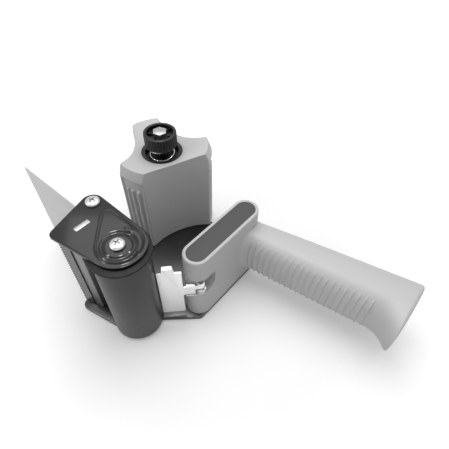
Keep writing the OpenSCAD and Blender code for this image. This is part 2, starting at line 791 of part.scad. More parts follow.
// Grip: one rounded section at a place along it, with its front half ribbed
function powered(v, p) = sign(v)*pow(abs(v), 2/p);
function along(y) = (y - grip_y)/grip_len;
function toe_at(y) = let (t = max(0, (y - grip_end + toe_len)/toe_len)) toe_out*pow(t, 2.2);
function neck_at(y) = let (t = min(1, max(0, 1 - (y - grip_y)/neck_len))) neck_out*(1 - sqrt(1 - t*t));
function half_d(y) = grip_half_d + (grip_end_half_d - grip_half_d)*pow(max(0, along(y)), 0.75);
function centre_x(y) = grip_x - grip_rake*along(y);
function faded(c) = min(1, max(0, (c - rib_end_share)/(rib_full_share - rib_end_share)));
function section(y, ridge, shrink, n) =
    [for (j = [0:n - 1]) let (a = 360*j/n, c = cos(a), s = sin(a),
        up = c > 0 ? toe_at(y) + neck_at(y) : 0, rib = ridge*faded(c),
        d = half_d(y) + up - shrink + rib, h = grip_half_t + neck_at(y)*max(0, c)/2 - shrink + rib)
        [centre_x(y) + powered(c, grip_power)*d, y, grip_z + powered(s, grip_power)*h]];
rib_ys = [for (i = [0:rib_count - 1]) rib_start + i*rib_pitch];
rib_share = 0.22;
rib_end_share = 0.74;
rib_full_share = 0.88;
toe_steps = 6;
rib_end = rib_start + rib_count*rib_pitch;
grip_rings = concat(
    [section(grip_y - grip_root, 0, 0, grip_sides)],
    [for (s = neck_shares) section(grip_y + (rib_start - grip_y)*s, 0, 0, grip_sides)],
    [for (y = rib_ys) each [section(y, 0, 0, grip_sides),
        section(y + rib_pitch*rib_share, rib_h, 0, grip_sides)]],
    [for (i = [0:toe_steps]) section(rib_end + (grip_end - grip_round - rib_end)*i/toe_steps, 0, 0, grip_sides)],
    [section(grip_end - grip_round*0.3, 0, grip_round*0.3, grip_sides),
        section(grip_end, 0, grip_round, grip_sides)]);
cavity_steps = 7;
cavity_rings = [for (i = [0:cavity_steps])
    section(grip_y - head_r + (grip_len + head_r - handle_wall - toe_len/2)*i/cavity_steps, 0,
        handle_wall + rib_h, cavity_sides)];

// Hinge bracket: a leaf screwed to the window's wall, with two ears
window_outline = [[window_x, window_low + window_slope], [window_x + window_slope, window_low],
    [head_front_x + head_w, window_low], [head_front_x + head_w, window_low + window_h],
    [window_x, window_low + window_h]];
leaf_y = head_y - head_r + window_wall;
ear_low = window_low;
ear_high = arm_low + stop_arm_h + slide_fit;
leaf_back = 2;
leaf_extra = 5;
leaf_x = head_front_x - leaf_back;
leaf_w = ear_r*2 + leaf_extra;
hinge_screw_r = 1.2;
hinge_screw_head_r = 2;
hinge_screw_head_h = 1;
hinge_screw_x = leaf_x + ear_r;
hinge_screw_z = window_low + window_h/2;
hinge_screw_len = 4;
module handle() {
    color(grey_plastic)
    difference() {
        union() {
            stadium(head_back_x, head_front_x, head_y, head_r, head_z, head_h);
            loft(grip_rings);
        }
        difference() {
            union() {
                stadium(head_back_x, window_x - head_r, head_y,
                    head_r - handle_wall, head_z - over, head_h - panel_t - handle_wall + over);
                loft(cavity_rings);
            }
            handle_screws_at() translate([0, 0, head_z - 2*over])
                cylinder(r = boss_r, h = head_h);
        }
        handle_screws_at() translate([0, 0, head_z - over])
            cylinder(r = boss_bore_r + run_fit, h = boss_depth + over);
        stadium(head_back_x, head_front_x, head_y, head_r - rim_w, head_top - panel_t, panel_t + over);
        translate([0, head_out_y + over, 0]) rotate([90, 0, 0])
            linear_extrude(height = head_w + over - window_wall) polygon(window_outline);
        translate([hinge_screw_x, leaf_y - hinge_screw_len - slide_fit, hinge_screw_z]) rotate([-90, 0, 0])
            cylinder(r = hinge_screw_r + run_fit, h = hinge_screw_len + over);
    }
}
panel_sink = 0.4;
module handle_panel() {
    color(panel_grey) stadium(head_back_x, head_front_x, head_y, head_r - rim_w - slide_fit,
        head_top - panel_t, panel_t - panel_sink);
}

module ear(z) {
    translate([hinge_x, hinge_y, z]) cylinder(r = ear_r, h = ear_t);
    translate([hinge_x - ear_r, leaf_y, z]) cube([2*ear_r, hinge_y - leaf_y, ear_t]);
}
module hinge_bracket() {
    color(bright_steel)
    difference() {
        union() {
            ear(ear_low);
            ear(ear_high);
            translate([leaf_x, leaf_y, ear_low]) cube([leaf_w, ear_t, ear_high + ear_t - ear_low]);
        }
        translate([hinge_x, hinge_y, ear_low - over]) cylinder(r = hinge_pin_r, h = window_h + 2*over);
        translate([hinge_screw_x, leaf_y - over, hinge_screw_z]) rotate([-90, 0, 0])
            cylinder(r = hinge_screw_r + slide_fit, h = ear_t + 2*over);
    }
}
module hinge_pin() {
    color(bright_steel) translate([hinge_x, hinge_y, ear_low])
        cylinder(r = hinge_pin_r, h = ear_high + ear_t - ear_low);
}
module hinge_screw() {
    color(bright_steel) translate([hinge_screw_x, leaf_y, hinge_screw_z]) rotate([-90, 0, 0]) {
        translate([0, 0, ear_t]) cylinder(r = hinge_screw_head_r, h = hinge_screw_head_h);
        translate([0, 0, -hinge_screw_len]) cylinder(r = hinge_screw_r, h = hinge_screw_len + ear_t);
    }
}

// Tape stop, drawn along +X from its hinge and turned to its rest angle
stop_in = knuckle_r - stop_t;
arm_start = stop_coil_r + stop_wire/2 + open_fit;
body_x = stop_reach - stop_w;
knuckle_low = arm_low + stop_arm_h - knuckle_h;
blade_plan = [[body_x, stop_low], [stop_reach, stop_low], [stop_reach, stop_low + stop_h],
    [stop_reach - tab_shares[0]*stop_w, stop_low + stop_h],
    [stop_reach - (tab_shares[0] + tab_lean_share)*stop_w, stop_low + stop_h + tab_h],
    [stop_reach - (tab_shares[1] - tab_lean_share)*stop_w, stop_low + stop_h + tab_h],
    [stop_reach - tab_shares[1]*stop_w, stop_low + stop_h], [body_x, stop_low + stop_h]];
roll_r_small = 1.3;
module tape_stop() {
    color(bright_steel) translate([hinge_x, hinge_y, 0]) rotate([0, 0, stop_rest]) {
        difference() {
            union() {
                translate([0, knuckle_r, 0]) rotate([90, 0, 0]) linear_extrude(height = stop_t)
                    polygon(blade_plan);
                translate([arm_start, stop_in, arm_low]) cube([body_x - arm_start + over, stop_t, stop_arm_h]);
                translate([0, stop_in, knuckle_low]) cube([body_x, stop_t, knuckle_h]);
                translate([0, 0, knuckle_low]) cylinder(r = knuckle_r, h = knuckle_h);
                translate([arm_start, knuckle_r - stop_t/2, arm_low + stop_arm_h + roll_r_small - open_fit])
                    rotate([0, 90, 0]) cylinder(r = roll_r_small, h = body_x/2);
                translate([stop_reach - (tab_shares[1] - tab_lean_share)*stop_w, stop_in,
                    stop_low + stop_h + tab_h - stop_t])
                    cube([(tab_shares[1] - tab_shares[0] - 2*tab_lean_share)*stop_w, stop_t + lip_out, stop_t]);
            }
            translate([0, 0, arm_low - over]) cylinder(r = hinge_pin_r + run_fit, h = stop_arm_h + 2*over);
        }
    }
}

// Torsion spring on the hinge pin, with its lower leg under the arm and its
// upper leg on the bracket's leaf
coil_start = stop_rest + 90;
coil_sweep = 360*stop_turns + 180 - coil_start;
coil_steps = round(coil_sweep/45);
coil_path = [for (i = [0:coil_steps]) let (a = coil_start + coil_sweep*i/coil_steps)
    [stop_coil_r*cos(a), stop_coil_r*sin(a), stop_coil_low + stop_pitch*coil_sweep*i/coil_steps/360]];
leg_way = [sin(coil_start), -cos(coil_start), 0];
leg_drop = [0, 0, arm_low - stop_wire/2 - slide_fit - stop_coil_low];
leg_bend = coil_path[0] + leg_way*stop_coil_r + leg_drop;
leaf_leg = [0, leaf_y + ear_t + stop_wire - hinge_y, 0];
stop_spring_path = concat([coil_path[0] + leg_way*(body_x - 2*stop_wire) + leg_drop, leg_bend], coil_path,
    [coil_path[coil_steps] + leaf_leg]);
module stop_spring() {
    color(bright_steel) translate([hinge_x, hinge_y, 0]) tube(stop_spring_path, stop_wire/2, 6);
}

echo(least_gap_brake_spring = least_gap(brake_path, brake_cuts/4, brake_wire));
echo(least_gap_stop_spring = least_gap(coil_path, 6, stop_wire));

frame_plate();
front_bracket();
spacer_post();
front_channel();
blade();
blade_rivets();
wiper();
wiper_clamp();
wiper_rivets();
roller_axle();
axle_washers();
bracket_screws();
frame_screws();
roller_sleeve();
roller_tube();
roller_lower_bush();
roller_upper_bush();
hub_spindle();
hub();
brake_cup();
friction_disc();
pressure_washer();
brake_spring();
spring_seat();
brake_bolt();
brake_knob();
handle();
handle_panel();
handle_screws();
hinge_bracket();
hinge_pin();
hinge_screw();
tape_stop();
stop_spring();
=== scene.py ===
import json
import math

import bmesh
import bpy
from mathutils import Matrix, Vector
from mathutils.geometry import delaunay_2d_cdt


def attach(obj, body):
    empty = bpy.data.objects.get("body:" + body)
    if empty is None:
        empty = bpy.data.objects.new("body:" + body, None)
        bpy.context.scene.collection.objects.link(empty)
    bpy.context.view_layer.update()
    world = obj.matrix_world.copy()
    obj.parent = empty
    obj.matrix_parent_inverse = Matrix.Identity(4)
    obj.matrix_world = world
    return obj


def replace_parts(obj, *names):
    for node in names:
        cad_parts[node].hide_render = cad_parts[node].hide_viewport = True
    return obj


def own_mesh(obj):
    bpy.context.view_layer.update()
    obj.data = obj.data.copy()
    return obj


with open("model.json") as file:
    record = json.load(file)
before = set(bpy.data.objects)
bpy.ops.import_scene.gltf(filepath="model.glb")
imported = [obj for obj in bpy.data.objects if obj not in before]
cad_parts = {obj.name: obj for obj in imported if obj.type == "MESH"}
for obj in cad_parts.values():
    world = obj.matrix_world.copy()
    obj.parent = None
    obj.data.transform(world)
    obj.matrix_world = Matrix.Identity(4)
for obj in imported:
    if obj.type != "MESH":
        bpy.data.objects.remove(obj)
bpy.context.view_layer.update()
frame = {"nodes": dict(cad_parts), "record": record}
cad = frame["nodes"]
scene = bpy.context.scene
mm = 0.001
mathNode, vectorMath, mapRange = "ShaderNodeMath", "ShaderNodeVectorMath", "ShaderNodeMapRange"
print("frame loaded:", len(cad), "nodes")


def linearFrom(hexText):  # sRGB hex to linear
    values = [int(hexText[i : i + 2], 16) / 255 for i in (0, 2, 4)]
    return (*(v / 12.92 if v <= 0.04045 else ((v + 0.055) / 1.055) ** 2.4 for v in values), 1)


def add(tree, kind, inputs=None, **settings):
    node = tree.nodes.new(kind)
    for name, value in settings.items():
        setattr(node, name, value)
    for key, value in (inputs or {}).items():
        if isinstance(value, bpy.types.NodeSocket):
            tree.links.new(value, node.inputs[key])
        else:
            node.inputs[key].default_value = value
    return node


# Materials. Each starts from a Principled shader whose colour, roughness and bump
# come from patterns on Object coordinates.
def startMaterial(name, **sockets):
    material = bpy.data.materials.new(name)
    material.use_nodes = True
    tree = material.node_tree
    shader = tree.nodes["Principled BSDF"]
    for key, value in sockets.items():
        shader.inputs[key.replace("_", " ")].default_value = value
    place = add(tree, "ShaderNodeTexCoord").outputs["Object"]
    return material, tree, shader, place


# Clouds of one size change the tone and the gloss, and a finer grain makes the relief.
# Sizes and depth are in mm, tones and roughness from lowest to highest.
def surface(name, cloudSize, tones, rough, grainSize, depth, stretch=(1, 1, 1), **sockets):
    material, tree, shader, place = startMaterial(name, **sockets)
    clouds = {"Vector": place, "Scale": 1 / (cloudSize * mm), "Detail": 3.0}
    cloud = add(tree, "ShaderNodeTexNoise", clouds).outputs["Fac"]
    mixed = {"Factor": cloud, "A": linearFrom(tones[0]), "B": linearFrom(tones[1])}
    tone = add(tree, "ShaderNodeMix", mixed, data_type="RGBA")
    tree.links.new(tone.outputs["Result"], shader.inputs["Base Color"])
    gloss = add(tree, mapRange, {"Value": cloud, "To Min": rough[0], "To Max": rough[1]})
    tree.links.new(gloss.outputs["Result"], shader.inputs["Roughness"])
    drawn = add(tree, "ShaderNodeMapping", {"Vector": place, "Scale": stretch}).outputs["Vector"]
    specks = {"Vector": drawn, "Scale": 1 / (grainSize * mm), "Detail": 2.0}
    grain = add(tree, "ShaderNodeTexNoise", specks).outputs["Fac"]
    bump = add(tree, "ShaderNodeBump", {"Height": grain, "Distance": depth * mm, "Strength": 1.0})
    tree.links.new(bump.outputs["Normal"], shader.inputs["Normal"])
    return material


# Injection moulded ABS in light grey: an even satin with a fine spark-eroded grain
greyAbs = surface("moulded grey ABS", 60, ("C2C2C2", "C8C8C8"), (0.5, 0.58), 0.7, 0.02, IOR=1.53)

# Powder coated sheet steel in black: a soft gloss with orange peel
blackCoat = surface(
    "black powder coated steel", 25, ("0A0A0A", "101010"), (0.3, 0.38), 1.2, 0.03,
    IOR=1.2, Coat_Weight=0.75, Coat_Roughness=0.09, Coat_IOR=1.4,
)

# The same black coat on the frame plate, in a lighter tone that is painted light, with a thinner
# and rougher coat
paintedLightPlateCoat = surface(
    "black powder coat with painted light", 25, ("1A1A1A", "202020"), (0.32, 0.42), 1.2, 0.03,
    IOR=1.45, Coat_Weight=0.25, Coat_Roughness=0.2,
)

# Ground nitrile rubber: dull, with fine rings left by the grinding wheel
groundRubber = surface(
    "ground black rubber", 20, ("202020", "262626"), (0.34, 0.4), 1.0, 0.03, (0.2, 0.2, 2.0),
    IOR=1.52,
)

# Moulded nylon in black, for the knob, the cup and the roller's tube: a low gloss
blackNylon = surface(
    "moulded black nylon", 8, ("0C0C0C", "121212"), (0.26, 0.34), 0.5, 0.015, IOR=1.38
)

# Sawn and turned nylon of the roller's bushes: dull, and darker than the knob's nylon, the darker
# tone painted shade for the bracket's shadow over the upper bush
bushNylonPaintedShade = surface("turned black nylon", 8, ("080808", "0E0E0E"), (0.5, 0.6), 0.5, 0.015, IOR=1.3)

# Textured charcoal ABS of the inset panel: matt, no reflections to speak of
charcoalAbs = surface(
    "textured charcoal ABS", 15, ("3C3C3C", "424242"), (0.6, 0.7), 0.6, 0.05, IOR=1.5
)

# Bright zinc on turned and headed steel: a soft mirror
zincSteel = surface(
    "bright zinc plated steel", 2, ("B8B8B8", "D0D0D0"), (0.2, 0.32), 0.8, 0.01, Metallic=1.0
)

# Zinc passivated a darker grey on the brake's hexagon bolt: duller, with broad glints
dullZinc = surface(
    "dull zinc plated steel", 2, ("9C9C9C", "B4B4B4"), (0.26, 0.38), 0.8, 0.01, Metallic=1.0
)

# Steel of the spindle and of the washer and seat inside the brake, half dull, painted dark: painted
# shade under the knob's skirt, and on the washer a painted reflection of the knob's dark underside
brakeSteelPaintedShade = surface(
    "steel painted dark for shade", 3, ("1C1C1C", "2A2A2A"), (0.4, 0.55), 0.6, 0.01, Metallic=1.0
)

# Hardened steel of the blade, drawn along its length, its tone painted dark: a painted reflection
# of the dark plate and shade round it
bladeSteelDarkReflection = surface(
    "hardened blade steel", 6, ("545454", "646464"), (0.2, 0.28), 0.5, 0.004, (1, 1, 0.08),
    Metallic=1.0,
)

# Rolled stainless sheet, brushed along its length: pale, with soft streaks
sheetSteel = surface(
    "rolled stainless sheet", 10, ("E8E8E8", "EEEEEE"), (0.48, 0.54), 0.5, 0.004, (1, 1, 0.08),
    Metallic=1.0,
)

# Extruded aluminium with die lines along its length. The end of its tab over the bracket is painted
# lighter: a painted highlight on the top that faces the light
extrudedAluminium = surface(
    "extruded aluminium", 8, ("808080", "8A8A8A"), (0.4, 0.5), 0.5, 0.01, (1, 1, 0.03), Metallic=1.0
)
# Height above which the tab's end gets the painted highlight
litEndHeight = 85.9
tree = extrudedAluminium.node_tree
shader = tree.nodes["Principled BSDF"]
bodyTone = shader.inputs["Base Color"].links[0].from_socket
place = add(tree, "ShaderNodeTexCoord").outputs["Object"]
height = add(tree, "ShaderNodeSeparateXYZ", {0: place}).outputs["Z"]
paintedLitEnd = add(tree, mathNode, {0: height, 1: litEndHeight * mm}, operation="GREATER_THAN")
tones = {"Fac": paintedLitEnd.outputs[0], "Color1": bodyTone, "Color2": linearFrom("A4A4A4")}
ends = add(tree, "ShaderNodeMixRGB", tones)
tree.links.new(ends.outputs["Color"], shader.inputs["Base Color"])

# Frosted polypropylene film of the wiper: cloudy, lets light through
frostedFilm = surface(
    "frosted polypropylene", 18, ("DADADA", "E6E6E6"), (0.4, 0.5), 1.5, 0.01,
    IOR=1.49, Transmission_Weight=0.35,
)

# Pressed fibre of the friction disc in the brake cup: dark, matt and rough
frictionFibre = surface(
    "pressed friction fibre", 3, ("161616", "242424"), (0.75, 0.9), 0.4, 0.05, IOR=1.45
)

finishes = {
    "frame_plate": paintedLightPlateCoat, "front_bracket": blackCoat, "spacer_post": zincSteel,
    "front_channel": extrudedAluminium, "blade": bladeSteelDarkReflection, "blade_rivets": bladeSteelDarkReflection,
    "wiper": frostedFilm, "wiper_clamp": blackCoat, "wiper_rivets": zincSteel,
    "roller_axle": zincSteel, "axle_washers": zincSteel, "bracket_screws": zincSteel,
    "frame_screws": zincSteel, "roller_sleeve": groundRubber, "roller_tube": blackNylon,
    "roller_lower_bush": bushNylonPaintedShade, "roller_upper_bush": bushNylonPaintedShade, "hub_spindle": brakeSteelPaintedShade,
    "hub": greyAbs, "brake_cup": blackNylon, "friction_disc": frictionFibre,
    "pressure_washer": brakeSteelPaintedShade, "brake_spring": zincSteel, "spring_seat": brakeSteelPaintedShade,
    "brake_bolt": dullZinc, "brake_knob": blackNylon, "handle": greyAbs,
    "handle_panel": charcoalAbs, "handle_screws": zincSteel, "hinge_bracket": sheetSteel,
    "hinge_pin": zincSteel, "hinge_screw": zincSteel, "tape_stop": sheetSteel,
    "stop_spring": zincSteel,
}
for name, finish in finishes.items():
    for materialSlot in cad[name].material_slots:
        materialSlot.material = finish
print("finishes set")


# Helpers that make a mesh, finish it and place it
bodyOf = {n: body for body, names in frame["record"]["behaviour"]["bodies"].items() for n in names}


def placePiece(name, mesh, finish, node):  # rides with the node and stands for it
    mesh.name = name = name.replace(" ", "_")
    mesh.materials.clear()
    mesh.materials.append(finish)
    piece = bpy.data.objects.new(name, mesh)
    scene.collection.objects.link(piece)
    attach(piece, bodyOf[node])
    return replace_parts(piece, node)


def smoothOver(mesh, angle):  # smooth faces, with creases where they meet at more than the angle
    work = bmesh.new()
    work.from_mesh(mesh)
    bmesh.ops.remove_doubles(work, verts=work.verts, dist=0.000002)
    bmesh.ops.recalc_face_normals(work, faces=work.faces)
    for face in work.faces:
        face.smooth = True
    for edge in work.edges:
        edge.smooth = len(edge.link_faces) == 2 and edge.calc_face_angle(0) < math.radians(angle)
    work.to_mesh(mesh)
    work.free()
    return mesh


def dressed(node, edge):  # copy of a CAD node with its sharp edges rounded, edge in mm
    flat, sharpest = 0.5, 30  # degrees: less is one face, more is an edge to round
    mesh = bpy.data.meshes.new(node)
    work = bmesh.new()
    work.from_mesh(cad[node].data)
    bmesh.ops.remove_doubles(work, verts=work.verts, dist=0.00001)
    limit = math.radians(flat)
    bmesh.ops.dissolve_limit(work, angle_limit=limit, verts=work.verts, edges=work.edges)
    if edge:
        inner = [e for e in work.edges if len(e.link_faces) == 2]
        sharp = [e for e in inner if e.calc_face_angle(0) > math.radians(sharpest)]
        bmesh.ops.bevel(
            work, geom=sharp, offset=edge * mm, offset_type="OFFSET", segments=2, profile=0.5,
            affect="EDGES", clamp_overlap=False,
        )
    work.to_mesh(mesh)
    work.free()
    return smoothOver(mesh, sharpest + 5)


def skin(name, rings, closed=False):  # rings of equal length in mm; capped unless they close
    count, turns = len(rings[0]), len(rings)
    last = turns if closed else turns - 1
    faces = []
    for r in range(last):
        here, ahead = r * count, (r + 1) % turns * count
        for i in range(count):
            after = (i + 1) % count
            faces.append((here + i, here + after, ahead + after, ahead + i))
    if not closed:
        faces += [tuple(range(count))[::-1], tuple(range(last * count, turns * count))]
    mesh = bpy.data.meshes.new(name)
    mesh.from_pydata([Vector(point) * mm for ring in rings for point in ring], [], faces)
    return mesh


def turnedRings(profile, steps, x=0, y=0):  # radius and height pairs turned about an upright axis
    angles = [2 * math.pi * i / steps for i in range(steps)]
    return [[(x + r * math.cos(a), y + r * math.sin(a), z) for a in angles] for r, z in profile]


def held(mesh):  # the mesh on an object of its own
    holder = bpy.data.objects.new(mesh.name, mesh)
    scene.collection.objects.link(holder)
    return holder


def plainMesh(holder, modifier):  # the holder's mesh with its modifier applied
    holder.update_tag()
    bpy.context.view_layer.update()
    shaped = holder.evaluated_get(bpy.context.evaluated_depsgraph_get())
    mesh = bpy.data.meshes.new_from_object(shaped)
    holder.modifiers.remove(modifier)
    bpy.data.objects.remove(holder)
    return mesh


def joined(base, other, operation):  # exact boolean of two closed meshes
    holder, tool = held(base), held(other)
    modifier = holder.modifiers.new("Join", "BOOLEAN")
    modifier.object, modifier.operation, modifier.solver = tool, operation, "EXACT"
    mesh = plainMesh(holder, modifier)
    bpy.data.objects.remove(tool)
    return mesh


# Geometry Nodes: a tree starts with its named sizes and ends in a realised mesh with its material
def startTree(name, sizes):
    kinds = {tuple: "NodeSocketVector", int: "NodeSocketInt", float: "NodeSocketFloat"}
    tree = bpy.data.node_groups.new(name, "GeometryNodeTree")
    tree.interface.new_socket("Geometry", in_out="INPUT", socket_type="NodeSocketGeometry")
    for label, value in sizes.items():
        tree.interface.new_socket(label, in_out="INPUT", socket_type=kinds[type(value)])
    tree.interface.new_socket("Geometry", in_out="OUTPUT", socket_type="NodeSocketGeometry")
    return tree, add(tree, "NodeGroupInput").outputs


def endTree(tree, geometry, finish):
    whole = add(tree, "GeometryNodeRealizeInstances", {"Geometry": geometry}).outputs[0]
    painted = add(tree, "GeometryNodeSetMaterial", {"Geometry": whole, "Material": finish})
    add(tree, "NodeGroupOutput", {"Geometry": painted.outputs[0]})


def runTree(tree, mesh, sizes):
    holder = held(mesh)
    modifier = holder.modifiers.new(tree.name, "NODES")
    modifier.node_group = tree
    for item in tree.interface.items_tree:
        if item.in_out == "INPUT" and item.name in sizes:
            modifier[item.identifier] = sizes[item.name]
    return plainMesh(holder, modifier)


def copiesOf(tree, given):  # the mesh as Count instances, and the index of each
    whole = add(tree, "GeometryNodeGeometryToInstance", {0: given["Geometry"]}).outputs[0]
    wanted = {"Geometry": whole, "Amount": given["Count"]}
    copies = add(tree, "GeometryNodeDuplicateElements", wanted, domain="INSTANCE")
    return copies.outputs["Geometry"], copies.outputs["Duplicate Index"]


# Tree for copies in a straight row: rivets, the blade's gullets and the two bracket screws
def rowOfCopies(mesh, finish, sizes):
    tree, given = startTree("Row of copies", sizes)
    copies, index = copiesOf(tree, given)
    steps = {0: given["Step"], "Scale": index}
    shift = add(tree, vectorMath, steps, operation="SCALE").outputs[0]
    moves = {"Instances": copies, "Translation": shift, "Local Space": False}
    row = add(tree, "GeometryNodeTranslateInstances", moves)
    endTree(tree, row.outputs[0], finish)
    return runTree(tree, mesh, sizes)


# Tree for copies around the hub axis: the knob's spokes
def ringOfCopies(mesh, finish, sizes):
    tree, given = startTree("Ring of copies", sizes)
    copies, index = copiesOf(tree, given)
    share = add(tree, mathNode, {0: index, 1: given["Count"]}, operation="DIVIDE").outputs[0]
    angle = add(tree, mathNode, {0: share, 1: 2 * math.pi}, operation="MULTIPLY").outputs[0]
    turn = add(tree, "ShaderNodeCombineXYZ", {"Z": angle}).outputs[0]
    moves = {"Instances": copies, "Rotation": turn, "Local Space": False}
    ring = add(tree, "GeometryNodeRotateInstances", moves)
    endTree(tree, ring.outputs[0], finish)
    return runTree(tree, mesh, sizes)


# Tree for flutes down a round wall: hub grooves and the knob's knurl. A point near the wall
# moves in by the depth times a power of the sine of its angle, counted from the lobe that it
# belongs to. Above the ribs' top the whole width moves in, and past the foot nothing does.
def flutedWall(mesh, finish, sizes):
    tree, given = startTree("Fluted wall", sizes)
    spot = add(tree, "GeometryNodeInputPosition").outputs[0]
    part = add(tree, "ShaderNodeSeparateXYZ", {0: spot}).outputs
    angle = add(tree, mathNode, {0: part["Y"], 1: part["X"]}, operation="ARCTAN2").outputs[0]
    angle = add(tree, mathNode, {0: angle, 1: given["First"]}, operation="SUBTRACT").outputs[0]
    half = add(tree, mathNode, {0: given["Sector"], 1: 0.5}, operation="MULTIPLY").outputs[0]
    below = add(tree, mathNode, {0: half, 1: -1.0}, operation="MULTIPLY").outputs[0]
    local = add(tree, mathNode, {0: angle, 1: half, 2: below}, operation="WRAP").outputs[0]
    place = add(tree, mathNode, {0: local, 1: given["Pitch"]}, operation="DIVIDE").outputs[0]
    wave = add(tree, mathNode, {0: place, 1: math.pi}, operation="MULTIPLY").outputs[0]
    for step in ("SINE", "ABSOLUTE"):
        wave = add(tree, mathNode, {0: wave}, operation=step).outputs[0]
    wave = add(tree, mathNode, {0: wave, 1: given["Sharpness"]}, operation="POWER").outputs[0]
    shares = {}
    for label, low, high in (("Rib top", 0.0, 1.0), ("Top", 1.0, 0.0), ("Foot", 0.0, 1.0)):
        end = add(tree, mathNode, {0: given[label], 1: given["Fade"]}, operation="ADD")
        ends = {"From Min": given[label], "From Max": end.outputs[0], "To Min": low, "To Max": high}
        fade = {"Value": part["Z"], **ends}
        share = add(tree, mapRange, fade, interpolation_type="SMOOTHSTEP")
        shares[label] = share.outputs[0]
    wave = add(tree, mathNode, {0: wave, 1: shares["Rib top"]}, operation="MAXIMUM").outputs[0]
    distance = add(tree, mathNode, {0: place}, operation="ABSOLUTE").outputs[0]
    softFrom, softTo = -0.15, 0.05  # in pitches, about the end of the last flute
    start = add(tree, mathNode, {0: given["Flutes"], 1: softFrom}, operation="ADD").outputs[0]
    edge = add(tree, mathNode, {0: given["Flutes"], 1: softTo}, operation="ADD").outputs[0]
    width = {"Value": distance, "From Min": start, "From Max": edge, "To Min": 1.0, "To Max": 0.0}
    inside = add(tree, mapRange, width).outputs[0]
    flat = add(tree, "ShaderNodeCombineXYZ", {"X": part["X"], "Y": part["Y"]}).outputs[0]
    radius = add(tree, vectorMath, {0: flat}, operation="LENGTH").outputs["Value"]
    sides = {"A": radius, "B": given["Wall"]}
    wall = add(tree, "FunctionNodeCompare", sides, operation="GREATER_THAN")
    amount = wave
    for factor in (inside, shares["Top"], shares["Foot"], given["Depth"], -1.0):
        amount = add(tree, mathNode, {0: amount, 1: factor}, operation="MULTIPLY").outputs[0]
    outward = add(tree, vectorMath, {0: flat}, operation="NORMALIZE").outputs[0]
    shift = add(tree, vectorMath, {0: outward, "Scale": amount}, operation="SCALE")
    moves = {"Selection": wall.outputs[0], "Offset": shift.outputs[0]}
    moved = add(tree, "GeometryNodeSetPosition", {"Geometry": given["Geometry"], **moves})
    endTree(tree, moved.outputs[0], finish)
    return runTree(tree, mesh, sizes)


# Tree for finger ribs: sharp crests with hollows between, on the side that faces +X
def fingerRibs(mesh, finish, sizes):
    tree, given = startTree("Finger ribs", sizes)
    spot = add(tree, "GeometryNodeInputPosition").outputs[0]
    normal = add(tree, "GeometryNodeInputNormal").outputs[0]
    along = add(tree, "ShaderNodeSeparateXYZ", {0: spot}).outputs["Y"]
    facing = add(tree, "ShaderNodeSeparateXYZ", {0: normal}).outputs["X"]
    start = add(tree, mathNode, {0: along, 1: given["First crest"]}, operation="SUBTRACT")
    pitch = {0: start.outputs[0], 1: given["Pitch"]}
    place = add(tree, mathNode, pitch, operation="DIVIDE").outputs[0]
    wave = add(tree, mathNode, {0: place, 1: math.pi}, operation="MULTIPLY").outputs[0]
    for step in ("SINE", "ABSOLUTE"):
        wave = add(tree, mathNode, {0: wave}, operation=step).outputs[0]
    crest = add(tree, mathNode, {0: 1.0, 1: wave}, operation="SUBTRACT").outputs[0]
    crest = add(tree, mathNode, {0: crest, 1: given["Sharpness"]}, operation="POWER").outputs[0]
    count = add(tree, mathNode, {0: place, 1: given["Count"]}, operation="SUBTRACT").outputs[0]
    ends = (  # in pitches: nothing before the first crest or past the last
        {"Value": place, "From Min": -0.5, "From Max": -0.45},
        {"Value": count, "From Min": -0.55, "From Max": -0.5, "To Min": 1.0, "To Max": 0.0},
    )
    low, high = (add(tree, mapRange, values).outputs[0] for values in ends)
    sides = {"Value": facing, "From Min": given["Fade start"], "From Max": given["Fade end"]}
    fade = add(tree, mapRange, sides, interpolation_type="SMOOTHSTEP").outputs[0]
    amount = crest
    for factor in (low, high, fade, given["Height"]):
        amount = add(tree, mathNode, {0: amount, 1: factor}, operation="MULTIPLY").outputs[0]
    shift = add(tree, vectorMath, {0: normal, "Scale": amount}, operation="SCALE")
    moves = {"Geometry": given["Geometry"], "Offset": shift.outputs[0]}
    moved = add(tree, "GeometryNodeSetPosition", moves)
    endTree(tree, moved.outputs[0], finish)
    return runTree(tree, mesh, sizes)


# Handle: a head with a rounded rim and a seat for its panel, and a grip with finger ribs. The
# grip's section is a superellipse of this power, and the rake is how far its end leans back.
handle = {
    "back": -1.2, "front": 48.8, "y": 80.1, "radius": 9.3, "low": 2.5, "high": 64.8, "foot": 0.4,
    "rim": 2.3, "lip": 0.3, "seat": 1.4, "round": 1.1, "waist": 30, "gripFrom": 89.4,
    "gripLength": 112, "gripX": -0.3, "gripZ": 33.65, "halfT": 19.5, "halfD": 12.4,
    "endHalfD": 18.4, "swell": 0.75, "rake": 21, "power": 2.8, "sides": 104, "root": 8.0,
    "neck": 7, "neckOut": 4.5, "neckSteps": 14, "toe": 13, "toeLength": 20, "toePower": 2.2,
    "toeBlend": 4, "endRound": 2.6, "ribFrom": 95.3, "ribPitch": 4.25, "ribs": 21,
    "ribHeight": 0.9, "ribSteps": 12, "tailGap": 0.3, "tailSteps": 20,
}
h = handle


def stadium(radius, z, steps=30):  # the head's outline at a height
    ring = []
    for x, start in ((h["front"], -90), (h["back"], 90)):
        for i in range(steps + 1):
            a = math.radians(start + 180 * i / steps)
            ring.append((x + radius * math.cos(a), h["y"] + radius * math.sin(a), z))
    return ring


